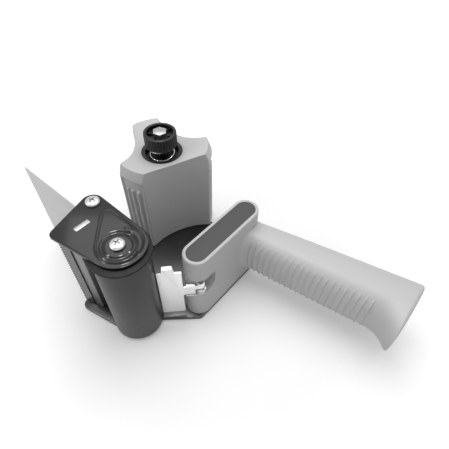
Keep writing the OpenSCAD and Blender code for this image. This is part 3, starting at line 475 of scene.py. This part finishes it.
def gripRing(y, shrink=0.0):
    away = y - h["gripFrom"]
    share = max(0, away / h["gripLength"])
    late = max(0, (away - h["gripLength"] + h["toeLength"]) / h["toeLength"])
    early = min(1, max(0, 1 - away / h["neck"]))
    flare = h["neckOut"] * (1 - math.sqrt(1 - early * early))
    deep = h["halfD"] + (h["endHalfD"] - h["halfD"]) * share ** h["swell"]
    ring = []
    for i in range(h["sides"]):
        turn = 2 * math.pi * i / h["sides"]
        c, s = math.cos(turn), math.sin(turn)
        out = h["toe"] * late ** h["toePower"] + flare if c > 0 else 0
        blend = min(1, max(0, c) * h["toeBlend"])
        halfWide = deep + out * blend - shrink
        halfTall = h["halfT"] + flare * max(0, c) / 2 - shrink
        across = math.copysign(abs(c) ** (2 / h["power"]), c) * halfWide
        up = math.copysign(abs(s) ** (2 / h["power"]), s) * halfTall
        ring.append((h["gripX"] - h["rake"] * share + across, y, h["gripZ"] + up))
    return ring


r, top = h["radius"], h["high"]
inner = r - h["rim"]
quarter = [math.radians(90 * i / 5) for i in range(6)]
wall = [(r - h["foot"], h["low"]), (r, h["low"] + h["foot"]), (r, h["low"] + h["waist"])]
for a in quarter:
    wall.append((r - h["round"] * (1 - math.cos(a)), top - h["round"] * (1 - math.sin(a))))
wall += [(inner + h["lip"], top), (inner + 0.08, top - 0.08), (inner, top - h["lip"])]
wall.append((inner, top - h["seat"]))
head = skin("handle head", [stadium(radius, z) for radius, z in wall])

ribTo = h["ribFrom"] + (h["ribs"] - 0.5) * h["ribPitch"]
gripEnd = h["gripFrom"] + h["gripLength"]
fine = h["ribPitch"] / h["ribSteps"]
ribLow = h["ribFrom"] - h["ribPitch"] / 2
neck = [(h["neck"] - 0.1) * (i / h["neckSteps"]) ** 1.6 for i in range(h["neckSteps"])]
stations = [h["gripFrom"] - h["root"]] + [h["gripFrom"] + away for away in neck + [h["neck"]]]
stations = [y for y in stations if y < ribLow - 0.2]
stations += [ribLow + fine * i for i in range(int((ribTo - ribLow) / fine) + 1)]
tail, tailEnd = ribTo + h["tailGap"], gripEnd - h["endRound"]
stations += [tail + (tailEnd - tail) * i / h["tailSteps"] for i in range(h["tailSteps"] + 1)]
gripRings = [gripRing(y) for y in stations]
for a in quarter[1:]:
    y, shrink = gripEnd - h["endRound"] * (1 - math.sin(a)), h["endRound"] * (1 - math.cos(a))
    gripRings.append(gripRing(y, shrink))
grip = smoothOver(skin("grip", gripRings), 50)
grip = fingerRibs(grip, greyAbs, {
    "First crest": h["ribFrom"] * mm, "Pitch": h["ribPitch"] * mm, "Count": h["ribs"],
    "Height": h["ribHeight"] * mm, "Sharpness": 2.0, "Fade start": 0.62, "Fade end": 0.9,
})
print("grip ribbed:", len(grip.vertices), "points")

window = {"x": 41.5, "low": 30, "high": 45.8, "slope": 4.5, "deep": 76.0, "front": 62}
w = window
outline = [(w["x"], w["low"] + w["slope"]), (w["x"] + w["slope"], w["low"])]
outline += [(w["front"], w["low"]), (w["front"], w["high"]), (w["x"], w["high"])]
cutter = skin("window", [[(x, y, z) for x, z in outline] for y in (h["y"] + r + 2, w["deep"])])
smoothOver(cutter, 20)
smoothOver(head, 40)
handleMesh = joined(joined(head, grip, "UNION"), cutter, "DIFFERENCE")
placePiece("handle shell", smoothOver(handleMesh, 32), greyAbs, "handle")
print("handle built:", len(handleMesh.polygons), "faces")

# Inset panel with a soft edge, in its seat
panel = {"gap": 0.15, "lift": 0.02, "sunk": 0.4, "round": 0.15, "border": 0.35}
p = panel
edge, sunk = inner - p["gap"], top - p["sunk"]
inset = [stadium(edge, top - h["seat"] + p["lift"]), stadium(edge, sunk - p["round"])]
inset += [stadium(edge - 0.12, sunk - 0.03), stadium(edge - p["border"], sunk)]
placePiece("inset panel", smoothOver(skin("inset panel", inset), 50), charcoalAbs, "handle_panel")

# Hub: three lobes between hollow sides, in rings about its axis, with a dished top. The width
# of a lobe, the place of the first one and the pitch of the grooves are in degrees.
hub = {
    "radius": 37.9, "hollowAt": 78.1, "hollowRadius": 57, "low": 3.1, "high": 80.7, "ring": 74.5,
    "cup": 15.55, "seat": 67.1, "lead": 7.5, "leadIn": 2.7, "first": 8.8, "soft": 0.6, "edge": 0.5,
    "lobe": 38, "lobeSteps": 95, "hollowSteps": 34, "wallRings": 60, "leadRings": 10,
    "dishRings": 8, "grooves": 2.0, "groovePitch": 7.7, "grooveDepth": 1.5, "grooveTop": 70.6,
    "ribTop": 62.2, "foot": 5.6, "fade": 1.3, "sharpness": 2.2, "insideWall": 30.0,
}


def hubPlan(turn, inward):  # outer radius at an angle from a lobe's middle, its corners softened
    away = math.radians(abs(turn % 120 - 60))
    offset, side = hub["hollowAt"] * math.sin(away), math.inf
    if offset < hub["hollowRadius"]:
        side = hub["hollowAt"] * math.cos(away) - math.sqrt(hub["hollowRadius"] ** 2 - offset**2)
    end, soft = hub["radius"] - inward, hub["soft"]
    return min(side, end) - soft * math.log(1 + math.exp(-abs(side - end) / soft))


lobe, hollow = hub["lobe"], 120 - hub["lobe"]
third = [-lobe / 2 + lobe * i / hub["lobeSteps"] for i in range(hub["lobeSteps"] + 1)]
third += [lobe / 2 + hollow * i / hub["hollowSteps"] for i in range(1, hub["hollowSteps"])]
turns = [120 * k + t for k in range(3) for t in third]
leadLow = hub["high"] - hub["lead"]
slope = (hub["high"] - hub["ring"]) / (hub["radius"] - hub["leadIn"] - hub["cup"])


def hubRing(radiusAt, heightAt):
    ring = []
    for t in turns:
        a, radius = math.radians(t + hub["first"]), radiusAt(t)
        ring.append((radius * math.cos(a), radius * math.sin(a), heightAt(t, radius)))
    return ring


def brim(t):
    return hubPlan(t, hub["leadIn"])


def peak(t):
    return hub["ring"] + slope * (brim(t) - hub["cup"])


def sideRing(share, inset=0.0, drop=0.0):  # share of the way from the lead's foot to the brim
    def height(t, _):
        return leadLow + (peak(t) - leadLow) * share - drop

    def radius(t):
        return hubPlan(t, hub["leadIn"] * (height(t, 0) - leadLow) / hub["lead"]) - inset

    return hubRing(radius, height)


def dishRing(inset, share):
    def reach(t):
        return hub["cup"] + (brim(t) - inset - hub["cup"]) * share

    return hubRing(reach, lambda t, radius: hub["ring"] + slope * (radius - hub["cup"]))


def straightRing(z, inset=0.0):
    return hubRing(lambda t: hubPlan(t, 0) - inset, lambda t, _: z)


def boreRing(z, out=0.0):
    return hubRing(lambda t: hub["cup"] + out, lambda t, _: z)


e = hub["edge"]
wallLow, wallTall = hub["low"] + 1, leadLow - hub["low"] - 1.6
rings = [straightRing(hub["low"], e), straightRing(hub["low"] + e)]
for i in range(hub["wallRings"] + 1):
    rings.append(straightRing(wallLow + wallTall * i / hub["wallRings"]))
rings += [sideRing(i / hub["leadRings"]) for i in range(hub["leadRings"])]
rings += [sideRing(1, 0, e), sideRing(1, 0.06, 0.25), sideRing(1, 0.22, 0.06)]
rings += [dishRing(e, 1 - i / hub["dishRings"]) for i in range(hub["dishRings"])]
rings += [boreRing(hub["ring"] + 0.1, 0.25), boreRing(hub["ring"] - 0.05, 0.05)]
rings += [boreRing(hub["ring"] - 0.3), boreRing(hub["seat"])]
hubMesh = smoothOver(skin("hub body", rings), 35)
hubMesh = flutedWall(hubMesh, greyAbs, {
    "First": math.radians(hub["first"]), "Sector": 2 * math.pi / 3,
    "Pitch": math.radians(hub["groovePitch"]), "Flutes": hub["grooves"],
    "Sharpness": hub["sharpness"], "Top": hub["grooveTop"] * mm, "Rib top": hub["ribTop"] * mm,
    "Foot": hub["foot"] * mm, "Fade": hub["fade"] * mm, "Wall": hub["insideWall"] * mm,
    "Depth": hub["grooveDepth"] * mm,
})
placePiece("hub body", smoothOver(hubMesh, 40), greyAbs, "hub")

# Brake knob: turned, knurled down its wall, with six spokes round the bolt
knob = {
    "low": 81.1, "web": 85.2, "floor": 87.8, "high": 91.5, "radius": 12.1, "rim": 2.4,
    "skirt": 10.2, "bore": 2.56, "edge": 0.45, "knurls": 40, "knurlDepth": 0.38, "knurlSteps": 8,
    "spokes": 6, "spokeFrom": 5.7, "spokeTo": 9.85, "spokeTall": 1.6,
}
k = knob
outer, inner, tall = k["radius"], k["radius"] - k["rim"], k["spokeTall"]
profile = [
    (k["bore"], k["web"]), (k["skirt"], k["web"]), (k["skirt"], k["low"] + 0.2),
    (k["skirt"] + 0.2, k["low"]), (outer - k["edge"], k["low"]), (outer - 0.1, k["low"] + 0.25),
    (outer, k["low"] + k["edge"]), (outer, k["high"] - k["edge"]), (outer - 0.12, k["high"] - 0.2),
    (outer - k["edge"], k["high"]), (inner + 0.4, k["high"]), (inner + 0.1, k["high"] - 0.12),
    (inner, k["high"] - 0.4), (inner, k["floor"] + 0.3), (inner - 0.3, k["floor"]),
    (k["bore"], k["floor"]),
]
knobRings = turnedRings(profile, k["knurls"] * k["knurlSteps"])
knobMesh = smoothOver(skin("knob", knobRings, closed=True), 40)
knobMesh = flutedWall(knobMesh, blackNylon, {  # all round, and past both ends of the wall
    "First": 0.0, "Sector": 2 * math.pi, "Pitch": 2 * math.pi / k["knurls"], "Flutes": 99.0,
    "Sharpness": 0.7, "Top": 200 * mm, "Rib top": 200 * mm, "Foot": mm, "Fade": mm,
    "Wall": (outer - 0.05) * mm, "Depth": k["knurlDepth"] * mm,
})
spoke = [(-0.75, -0.1), (0.75, -0.1), (0.6, tall - 0.25), (0.4, tall)]
spoke += [(-0.4, tall), (-0.6, tall - 0.25)]
spokeRings = [[(x, y, k["floor"] + z) for y, z in spoke] for x in (k["spokeFrom"], k["spokeTo"])]
spokeMesh = smoothOver(skin("spoke", spokeRings), 30)
spokes = ringOfCopies(spokeMesh, blackNylon, {"Count": k["spokes"]})
placePiece("knob", smoothOver(knobMesh, 40), blackNylon, "brake_knob")
placePiece("knob spokes", spokes, blackNylon, "brake_knob")

# Brake spring: round wire on a helix with flat end turns, swept by Geometry Nodes. Start is
# in degrees, and flat is the share of the wire at each end that doesn't rise.
spring = {
    "low": 71.45, "high": 84.05, "radius": 9.2, "wire": 1.0, "turns": 3.0, "start": 150,
    "flat": 0.25, "stepsPerTurn": 48,
}


def coiledWire(finish, sizes):
    tree, given = startTree("Coiled wire", sizes)
    straight = add(tree, "GeometryNodeCurvePrimitiveLine", {"End": (0, 0, 1)}).outputs[0]
    counted = {"Curve": straight, "Count": given["Points"]}
    line = add(tree, "GeometryNodeResampleCurve", counted).outputs[0]
    share = add(tree, "GeometryNodeSplineParameter").outputs["Factor"]
    sweep = {0: share, 1: given["Sweep"], 2: given["Start"]}
    angle = add(tree, mathNode, sweep, operation="MULTIPLY_ADD").outputs[0]
    far = add(tree, mathNode, {0: 1.0, 1: given["Flat"]}, operation="SUBTRACT").outputs[0]
    rise = {"Value": share, "From Min": given["Flat"], "From Max": far, "To Max": given["Rise"]}
    plan = {"Z": add(tree, mapRange, rise).outputs["Result"]}
    for axis, way in (("X", "COSINE"), ("Y", "SINE")):
        unit = add(tree, mathNode, {0: angle}, operation=way).outputs[0]
        scaled = add(tree, mathNode, {0: unit, 1: given["Radius"]}, operation="MULTIPLY")
        plan[axis] = scaled.outputs[0]
    spot = add(tree, "ShaderNodeCombineXYZ", plan).outputs[0]
    wound = add(tree, "GeometryNodeSetPosition", {"Geometry": line, "Position": spot}).outputs[0]
    circle = {"Resolution": 10, "Radius": given["Wire"]}
    section = add(tree, "GeometryNodeCurvePrimitiveCircle", circle).outputs[0]
    swept = {"Curve": wound, "Profile Curve": section, "Fill Caps": True}
    wire = add(tree, "GeometryNodeCurveToMesh", swept).outputs[0]
    lift = add(tree, "ShaderNodeCombineXYZ", {"Z": given["Low"]}).outputs[0]
    placed = add(tree, "GeometryNodeTransform", {"Geometry": wire, "Translation": lift})
    endTree(tree, placed.outputs[0], finish)
    return runTree(tree, bpy.data.meshes.new("coil"), sizes)


s = spring
coil = coiledWire(zincSteel, {
    "Points": int(s["turns"] * s["stepsPerTurn"]) + 1, "Sweep": s["turns"] * 2 * math.pi,
    "Start": math.radians(s["start"]), "Flat": s["flat"], "Radius": s["radius"] * mm,
    "Rise": (s["high"] - s["low"] - s["wire"]) * mm, "Wire": s["wire"] / 2 * mm,
    "Low": (s["low"] + s["wire"] / 2) * mm,
})
coilPiece = placePiece("brake coil", smoothOver(coil, 60), zincSteel, "brake_spring")
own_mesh(coilPiece)
print("hub and brake built")

# Front bracket: one pressed sheet, raised in a pear round the axle, with a ring groove and
# three dimples. Corners go round anticlockwise. The groove is its radius, half width and depth,
# and each dimple its direction in degrees, distance, half length and half width. The field is
# the corner and reach of the grid of points, and the lips are the steps down its edge.
bracket = {
    "z": 84.5, "t": 1.6, "edge": 0.45, "lips": (0, 0.05, 0.17), "step": 0.6, "margin": 0.35,
    "field": (66.3, 6, 42, 66), "corners": [(66.4, 6.7), (106.9, 18.4), (98.4, 70.6), (68.0, 70.6)],
    "radii": [7.1, 4.5, 16.07, 16.07], "cornerSteps": 14, "borderStep": 1.1, "axle": (85.6, 55.4),
    "pad": (84.0, 55.0), "apex": (74.0, 32.0), "padRadius": 13.2, "apexRadius": 3.6,
    "padHeight": 1.25, "padSteps": 24, "shoulder": 2.1, "groove": (9.4, 1.25, 1.0),
    "dimples": [(4, 9.6, 2.3, 1.2), (103, 11.3, 2.6, 1.3), (200, 12.0, 3.2, 1.7)],
    "dimpleRise": 0.6,
}
b = bracket


def roundedOutline(corners, radii, steps):
    line = []
    for i, corner in enumerate(corners):
        here, before = Vector(corner), Vector(corners[i - 1])
        after = Vector(corners[(i + 1) % len(corners)])
        u, v = (before - here).normalized(), (after - here).normalized()
        half = u.angle(v) / 2
        middle = here + (u + v).normalized() * radii[i] / math.sin(half)
        start = here + u * radii[i] / math.tan(half) - middle
        for j in range(steps + 1):
            turn = (math.pi - 2 * half) * j / steps
            c, s = math.cos(turn), math.sin(turn)
            line.append(middle + Vector((start.x * c - start.y * s, start.x * s + start.y * c)))
    return line


def spaced(line, step):  # the same closed line with extra points on its long runs
    points = []
    for i, here in enumerate(line):
        ahead = line[(i + 1) % len(line)]
        parts = max(1, round((ahead - here).length / step))
        points += [here.lerp(ahead, j / parts) for j in range(parts)]
    return points


def insetLine(line, distance):
    moved = []
    for i, here in enumerate(line):
        tangent = (line[(i + 1) % len(line)] - line[i - 1]).normalized()
        moved.append(here + Vector((-tangent.y, tangent.x)) * distance)
    return moved


def insideBy(point, line):  # least distance inside a closed line, or below zero outside it
    best, crossings = math.inf, 0
    for i, here in enumerate(line):
        ahead = line[(i + 1) % len(line)]
        along, out = ahead - here, point - here
        t = min(1, max(0, out.dot(along) / along.length_squared))
        best = min(best, (out - along * t).length)
        if (here.y > point.y) != (ahead.y > point.y) and out.x < out.y / along.y * along.x:
            crossings += 1
    return best if crossings % 2 else -best


def eased(share):
    share = min(1, max(0, share))
    return share * share * (3 - 2 * share)


def pressed(point):  # height of the pressing over the flat sheet
    apex, pad, depth = Vector(b["apex"]), Vector(b["pad"]), -math.inf
    for i in range(b["padSteps"] + 1):
        u = i / b["padSteps"]
        radius = b["apexRadius"] + (b["padRadius"] - b["apexRadius"]) * u
        depth = max(depth, radius - (point - apex.lerp(pad, u)).length)
    away = point - Vector(b["axle"])
    middle, width, sunk = b["groove"]
    height = b["padHeight"] * eased(depth / b["shoulder"] + 0.5)
    height -= sunk * math.exp(-(((away.length - middle) / width) ** 2))
    for turn, out, half, deep in b["dimples"]:
        outward = Vector((math.cos(math.radians(turn)), math.sin(math.radians(turn))))
        radial, along = away.dot(outward) - out, away.dot(outward.orthogonal())
        height += b["dimpleRise"] * eased(2 - 2 * math.hypot(along / half, radial / deep))
    return height


# The sheet is a flat mesh of the border's steps and a grid inside it, lifted by the pressing
border = spaced(roundedOutline(b["corners"], b["radii"], b["cornerSteps"]), b["borderStep"])
count, points, drops = len(border), [], []
for distance in (*b["lips"], b["edge"]):
    line = insetLine(border, distance)
    points += line
    drops += [b["edge"] - math.sqrt(max(0, b["edge"] ** 2 - (b["edge"] - distance) ** 2))] * count
fieldX, fieldY, fieldWide, fieldTall = b["field"]
for i in range(int(fieldWide / b["step"])):
    for j in range(int(fieldTall / b["step"])):
        spot = Vector((fieldX + (i + 0.5 * (j % 2)) * b["step"], fieldY + j * b["step"]))
        if insideBy(spot, line) > b["margin"]:
            points.append(spot)
            drops.append(0)
borderEdges = [(i, (i + 1) % count) for i in range(count)]
flatPoints, _, triangles, origins, _, _ = delaunay_2d_cdt(points, borderEdges, [], 1, 1e-6)
under = len(flatPoints)  # the lower face's points come after the upper's
sheetLow = [Vector((p.x, p.y, b["z"] + pressed(p))) for p in flatPoints]
sheetTop = []
for p, group in zip(flatPoints, origins):
    drop = drops[group[0]] if group else 0
    sheetTop.append(Vector((p.x, p.y, b["z"] + b["t"] + pressed(p) - drop)))
ringOrder = {o: i for i, group in enumerate(origins) for o in group if o < count}
faces = [tuple(t) for t in triangles] + [tuple(i + under for i in reversed(t)) for t in triangles]
for i in range(count):
    here, ahead = ringOrder[i], ringOrder[(i + 1) % count]
    faces.append((here, here + under, ahead + under, ahead))
bracketMesh = bpy.data.meshes.new("pressed bracket")
bracketMesh.from_pydata([p * mm for p in sheetTop + sheetLow], [], faces)
placePiece("pressed bracket", smoothOver(bracketMesh, 50), blackCoat, "front_bracket")
print("bracket pressed:", len(bracketMesh.polygons), "faces")

# Pan head screw with a cross recess, and its copy on the axle. Turn is the cosine and sine of
# the cross's turn.
screw = {
    "x": 73.5, "y": 17.0, "seat": 86.1, "radius": 4.6, "tall": 2.8, "brim": 0.9, "dome": 0.72,
    "shank": 2.5, "grip": 9, "recess": 1.7, "arm": 2.7, "slot": 0.62, "turn": (0.94, 0.34),
    "step": (12.1, 38.4, 1.2),
}
s = screw
shoulder, tip, crown = s["seat"] + s["brim"], s["seat"] - s["grip"], s["seat"] + s["tall"]
profile = [(0.05, tip), (s["shank"] - 0.4, tip), (s["shank"], tip + 0.5), (s["shank"], s["seat"])]
profile += [(s["radius"] - 0.25, s["seat"]), (s["radius"], s["seat"] + 0.25)]
for a in (0, 12, 24, 36, 48, 60, 72, 82):
    c, rise = math.cos(math.radians(a)), math.sin(math.radians(a))
    profile.append((s["radius"] * c ** s["dome"], shoulder + (crown - shoulder) * rise))
profile.append((0.05, crown))
screwMesh = smoothOver(skin("pan screw", turnedRings(profile, 64, s["x"], s["y"])), 40)
crossRings = []
deepEnd = (crown - s["recess"], s["arm"] * 0.45, s["slot"] * 0.7)
openEnd = (crown + 0.5, s["arm"], s["slot"])
for z, arm, slot in (deepEnd, openEnd):
    corner, plan = [(slot, slot), (slot, arm), (-slot, arm)], []
    for _ in range(4):
        plan += corner
        corner = [(-y, x) for x, y in corner]
    c, n = s["turn"]
    crossRings.append([(s["x"] + x * c - y * n, s["y"] + x * n + y * c, z) for x, y in plan])
screwMesh = joined(screwMesh, smoothOver(skin("cross recess", crossRings), 30), "DIFFERENCE")
steps = tuple(v * mm for v in s["step"])
screwMesh = rowOfCopies(screwMesh, zincSteel, {"Count": 2, "Step": steps})
placePiece("pan screws", smoothOver(screwMesh, 35), zincSteel, "bracket_screws")

# The channel's front leg leans about its nose by this many degrees, with all that it carries
lean = {"nose": (99.3, 22.7), "tilt": 16}


def leaned(mesh):
    nose = Vector((*lean["nose"], 0)) * mm
    tilt = Matrix.Rotation(math.radians(lean["tilt"]), 4, "Z")
    mesh.transform(Matrix.Translation(nose) @ tilt @ Matrix.Translation(-nose))
    return mesh


# Domed rivets through each leg of the channel, in a row of three
rivets = {
    "y": 19.2, "first": 16.17, "pitch": 27.33, "count": 3, "radius": 1.5, "head": 2.6, "dome": 0.9,
    "rim": 0.15, "front": 97.1, "frontLength": 3.0, "rear": 83.2, "rearLength": 4.3,
}


def rivetRow(name, node, base, length, way):
    v = rivets
    profile = [(0.05, length), (v["radius"], length), (v["radius"], 0)]
    profile += [(v["head"] - v["rim"], 0), (v["head"], -0.12)]
    for a in (15, 30, 45, 60, 75):
        c, n = math.cos(math.radians(a)), math.sin(math.radians(a))
        profile.append((v["head"] * c, -v["rim"] - (v["dome"] - v["rim"]) * n))
    profile.append((0.05, -v["dome"]))
    rings = []
    for ring in turnedRings(profile, 32):
        rings.append([(base + way * z, v["y"] + x, v["first"] + y) for x, y, z in ring])
    step = {"Count": v["count"], "Step": (0.0, 0.0, v["pitch"] * mm)}
    return rowOfCopies(smoothOver(skin(name, rings), 40), finishes[node], step)


front = rivetRow("domed blade rivets", "blade_rivets", rivets["front"], rivets["frontLength"], 1)
rear = rivetRow("domed wiper rivets", "wiper_rivets", rivets["rear"], rivets["rearLength"], -1)
placePiece("domed blade rivets", leaned(front), bladeSteelDarkReflection, "blade_rivets")
placePiece("domed wiper rivets", rear, zincSteel, "wiper_rivets")

# Toothed blade: the CAD blade with deeper gullets between its teeth, cut by a row of wedges.
# Mouth and root are each a wedge's place along the leg and its half width there.
teeth = {
    "count": 34, "pitch": 2.4, "first": 3.9, "mouth": (14.0, 1.26), "root": (16.95, 0.2),
    "x": (98.8, 100.6),
}
(mouth, mouthHalf), (root, rootHalf) = teeth["mouth"], teeth["root"]
corners = [(mouth, -mouthHalf), (root, -rootHalf), (root, rootHalf), (mouth, mouthHalf)]
wedge = skin("gullet", [[(x, y, teeth["first"] + z) for y, z in corners] for x in teeth["x"]])
step = {"Count": teeth["count"], "Step": (0.0, 0.0, teeth["pitch"] * mm)}
wedges = leaned(rowOfCopies(smoothOver(wedge, 20), bladeSteelDarkReflection, step))
blade = joined(dressed("blade", 0), wedges, "DIFFERENCE")
placePiece("toothed blade", smoothOver(blade, 20), bladeSteelDarkReflection, "blade")

# The rest keep their CAD shape, with edges rounded by these widths in mm and creases where
# sheets fold
roundedBy = {
    "frame_plate": 0.4, "front_channel": 0.3, "wiper_clamp": 0.2, "tape_stop": 0.18,
    "hinge_bracket": 0.15, "brake_cup": 0.25, "pressure_washer": 0.15, "spring_seat": 0.15,
    "brake_bolt": 0.3, "roller_sleeve": 0.5, "roller_upper_bush": 0.25, "spacer_post": 0.3,
}
for node, edge in roundedBy.items():
    placePiece(node.replace("_", " ") + " dressed", dressed(node, edge), finishes[node], node)
print("pieces placed")

# Camera at the photograph's place: position and turn were fitted to the picture. Pitch and
# roll are in degrees.
view = {
    "position": (0.1480, 0.1801, 0.2523), "pitch": 48.85, "heading": (-0.784, -0.621),
    "roll": 1.87, "lens": 29.93, "sensor": 36, "nearest": 0.01, "farthest": 20,
}
pitch, roll = math.radians(view["pitch"]), math.radians(view["roll"])
hx, hy = view["heading"]
ahead = Vector((hx * math.cos(pitch), hy * math.cos(pitch), -math.sin(pitch))).normalized()
level = Vector((hy, -hx, 0)).normalized()
upward = level.cross(ahead)
right = level * math.cos(roll) + upward * math.sin(roll)
top = upward * math.cos(roll) - level * math.sin(roll)
camera = bpy.data.objects.new("camera", bpy.data.cameras.new("camera"))
camera.data.lens, camera.data.sensor_width = view["lens"], view["sensor"]
camera.data.sensor_fit = "HORIZONTAL"
camera.data.clip_start, camera.data.clip_end = view["nearest"], view["farthest"]
turn = Matrix((right, top, -ahead)).transposed()
camera.matrix_world = Matrix.Translation(view["position"]) @ turn.to_4x4()
scene.collection.objects.link(camera)
scene.camera = camera


def seenPaths(tree):  # 1 where the camera sees it, straight or in gloss or through film
    paths = add(tree, "ShaderNodeLightPath").outputs
    seen = paths["Is Camera Ray"]
    for ray in ("Is Glossy Ray", "Is Transmission Ray"):
        seen = add(tree, mathNode, {0: seen, 1: paths[ray]}, operation="MAXIMUM").outputs[0]
    return seen


# Floor: white paper that glows to the eye, with painted shade round the object: the glow is weaker
# near it, where its shadow falls. Sizes are in metres.
paperFloor = {
    "reach": 6, "drop": 0.0002, "tone": 0.95, "unseen": 0.6, "centre": (0.02, 0.08, 0),
    "near": 0.1, "far": 0.35, "nearGlow": 0.13, "farGlow": 0.55,
}
f = paperFloor
corners = [(x * f["reach"], y * f["reach"], 0) for x, y in ((-1, -1), (1, -1), (1, 1), (-1, 1))]
floorMesh = bpy.data.meshes.new("floor")
floorMesh.from_pydata(corners, [], [(0, 1, 2, 3)])
floor = bpy.data.objects.new("floor", floorMesh)
floor.location.z = -f["drop"]
scene.collection.objects.link(floor)
unseen = {"Roughness": 0.9, "Base_Color": (f["unseen"], f["unseen"], f["unseen"], 1)}
floorPaper, tree, shader, place = startMaterial("white paper floor", **unseen)
paper = add(tree, "ShaderNodeBsdfDiffuse", {"Color": (f["tone"], f["tone"], f["tone"], 1)})
# The glow grows with distance from this centre, leaving painted shade on the floor near the object
away = add(tree, vectorMath, {0: place, 1: f["centre"]}, operation="DISTANCE")
fade = {"Value": away.outputs["Value"], "From Min": f["near"], "From Max": f["far"]}
glowing = add(tree, mapRange, {**fade, "To Min": f["nearGlow"], "To Max": f["farGlow"]})
shine = {"Color": (1, 1, 1, 1), "Strength": glowing.outputs["Result"]}
glow = add(tree, "ShaderNodeEmission", shine)
both = add(tree, "ShaderNodeAddShader", {0: paper.outputs[0], 1: glow.outputs[0]})
shown = {0: seenPaths(tree), 1: shader.outputs[0], 2: both.outputs[0]}
pick = add(tree, "ShaderNodeMixShader", shown)
tree.links.new(pick.outputs[0], tree.nodes["Material Output"].inputs["Surface"])
floorMesh.materials.append(floorPaper)

# World: an even fill of this strength, seen as white
studio = {"fill": 0.45, "shown": 1.0}
world = bpy.data.worlds.new("studio")
scene.world = world
world.use_nodes = True
tree = world.node_tree
fill = tree.nodes["Background"]
fill.inputs["Color"].default_value = (1, 1, 1, 1)
fill.inputs["Strength"].default_value = studio["fill"]
white = add(tree, "ShaderNodeBackground", {"Color": (1, 1, 1, 1), "Strength": studio["shown"]})
shown = {0: seenPaths(tree), 1: fill.outputs[0], 2: white.outputs[0]}
pick = add(tree, "ShaderNodeMixShader", shown)
tree.links.new(pick.outputs[0], tree.nodes["World Output"].inputs["Surface"])

lamps = {  # place, aim, size in metres and power in watts
    "overhead": ((-0.15, -0.1, 0.95), (0.03, 0.06, 0), 0.9, 5.6),
    "side": ((0.9, -0.5, 0.6), (0.03, 0.06, 0.03), 0.6, 2.0),
    "spark above": ((0.06, 0.0, 0.8), (0.085, 0.05, 0.085), 0.12, 2.2),
    "spark left": ((0.3, -0.25, 0.65), (0.085, 0.05, 0.085), 0.08, 1.0),
    "spark right": ((-0.25, 0.3, 0.7), (0.085, 0.05, 0.085), 0.08, 1.0),
}
for name, (spot, aim, size, power) in lamps.items():
    lamp = bpy.data.lights.new(name, "AREA")
    lamp.size, lamp.energy = size, power
    holder = bpy.data.objects.new(name, lamp)
    holder.location = spot
    holder.rotation_mode = "QUATERNION"
    holder.rotation_quaternion = (Vector(aim) - Vector(spot)).to_track_quat("-Z", "Y")
    holder.visible_diffuse = not name.startswith("spark")  # small lamps only glint in gloss
    scene.collection.objects.link(holder)
scene.view_settings.view_transform = "Standard"
print("camera, floor and lamps set")
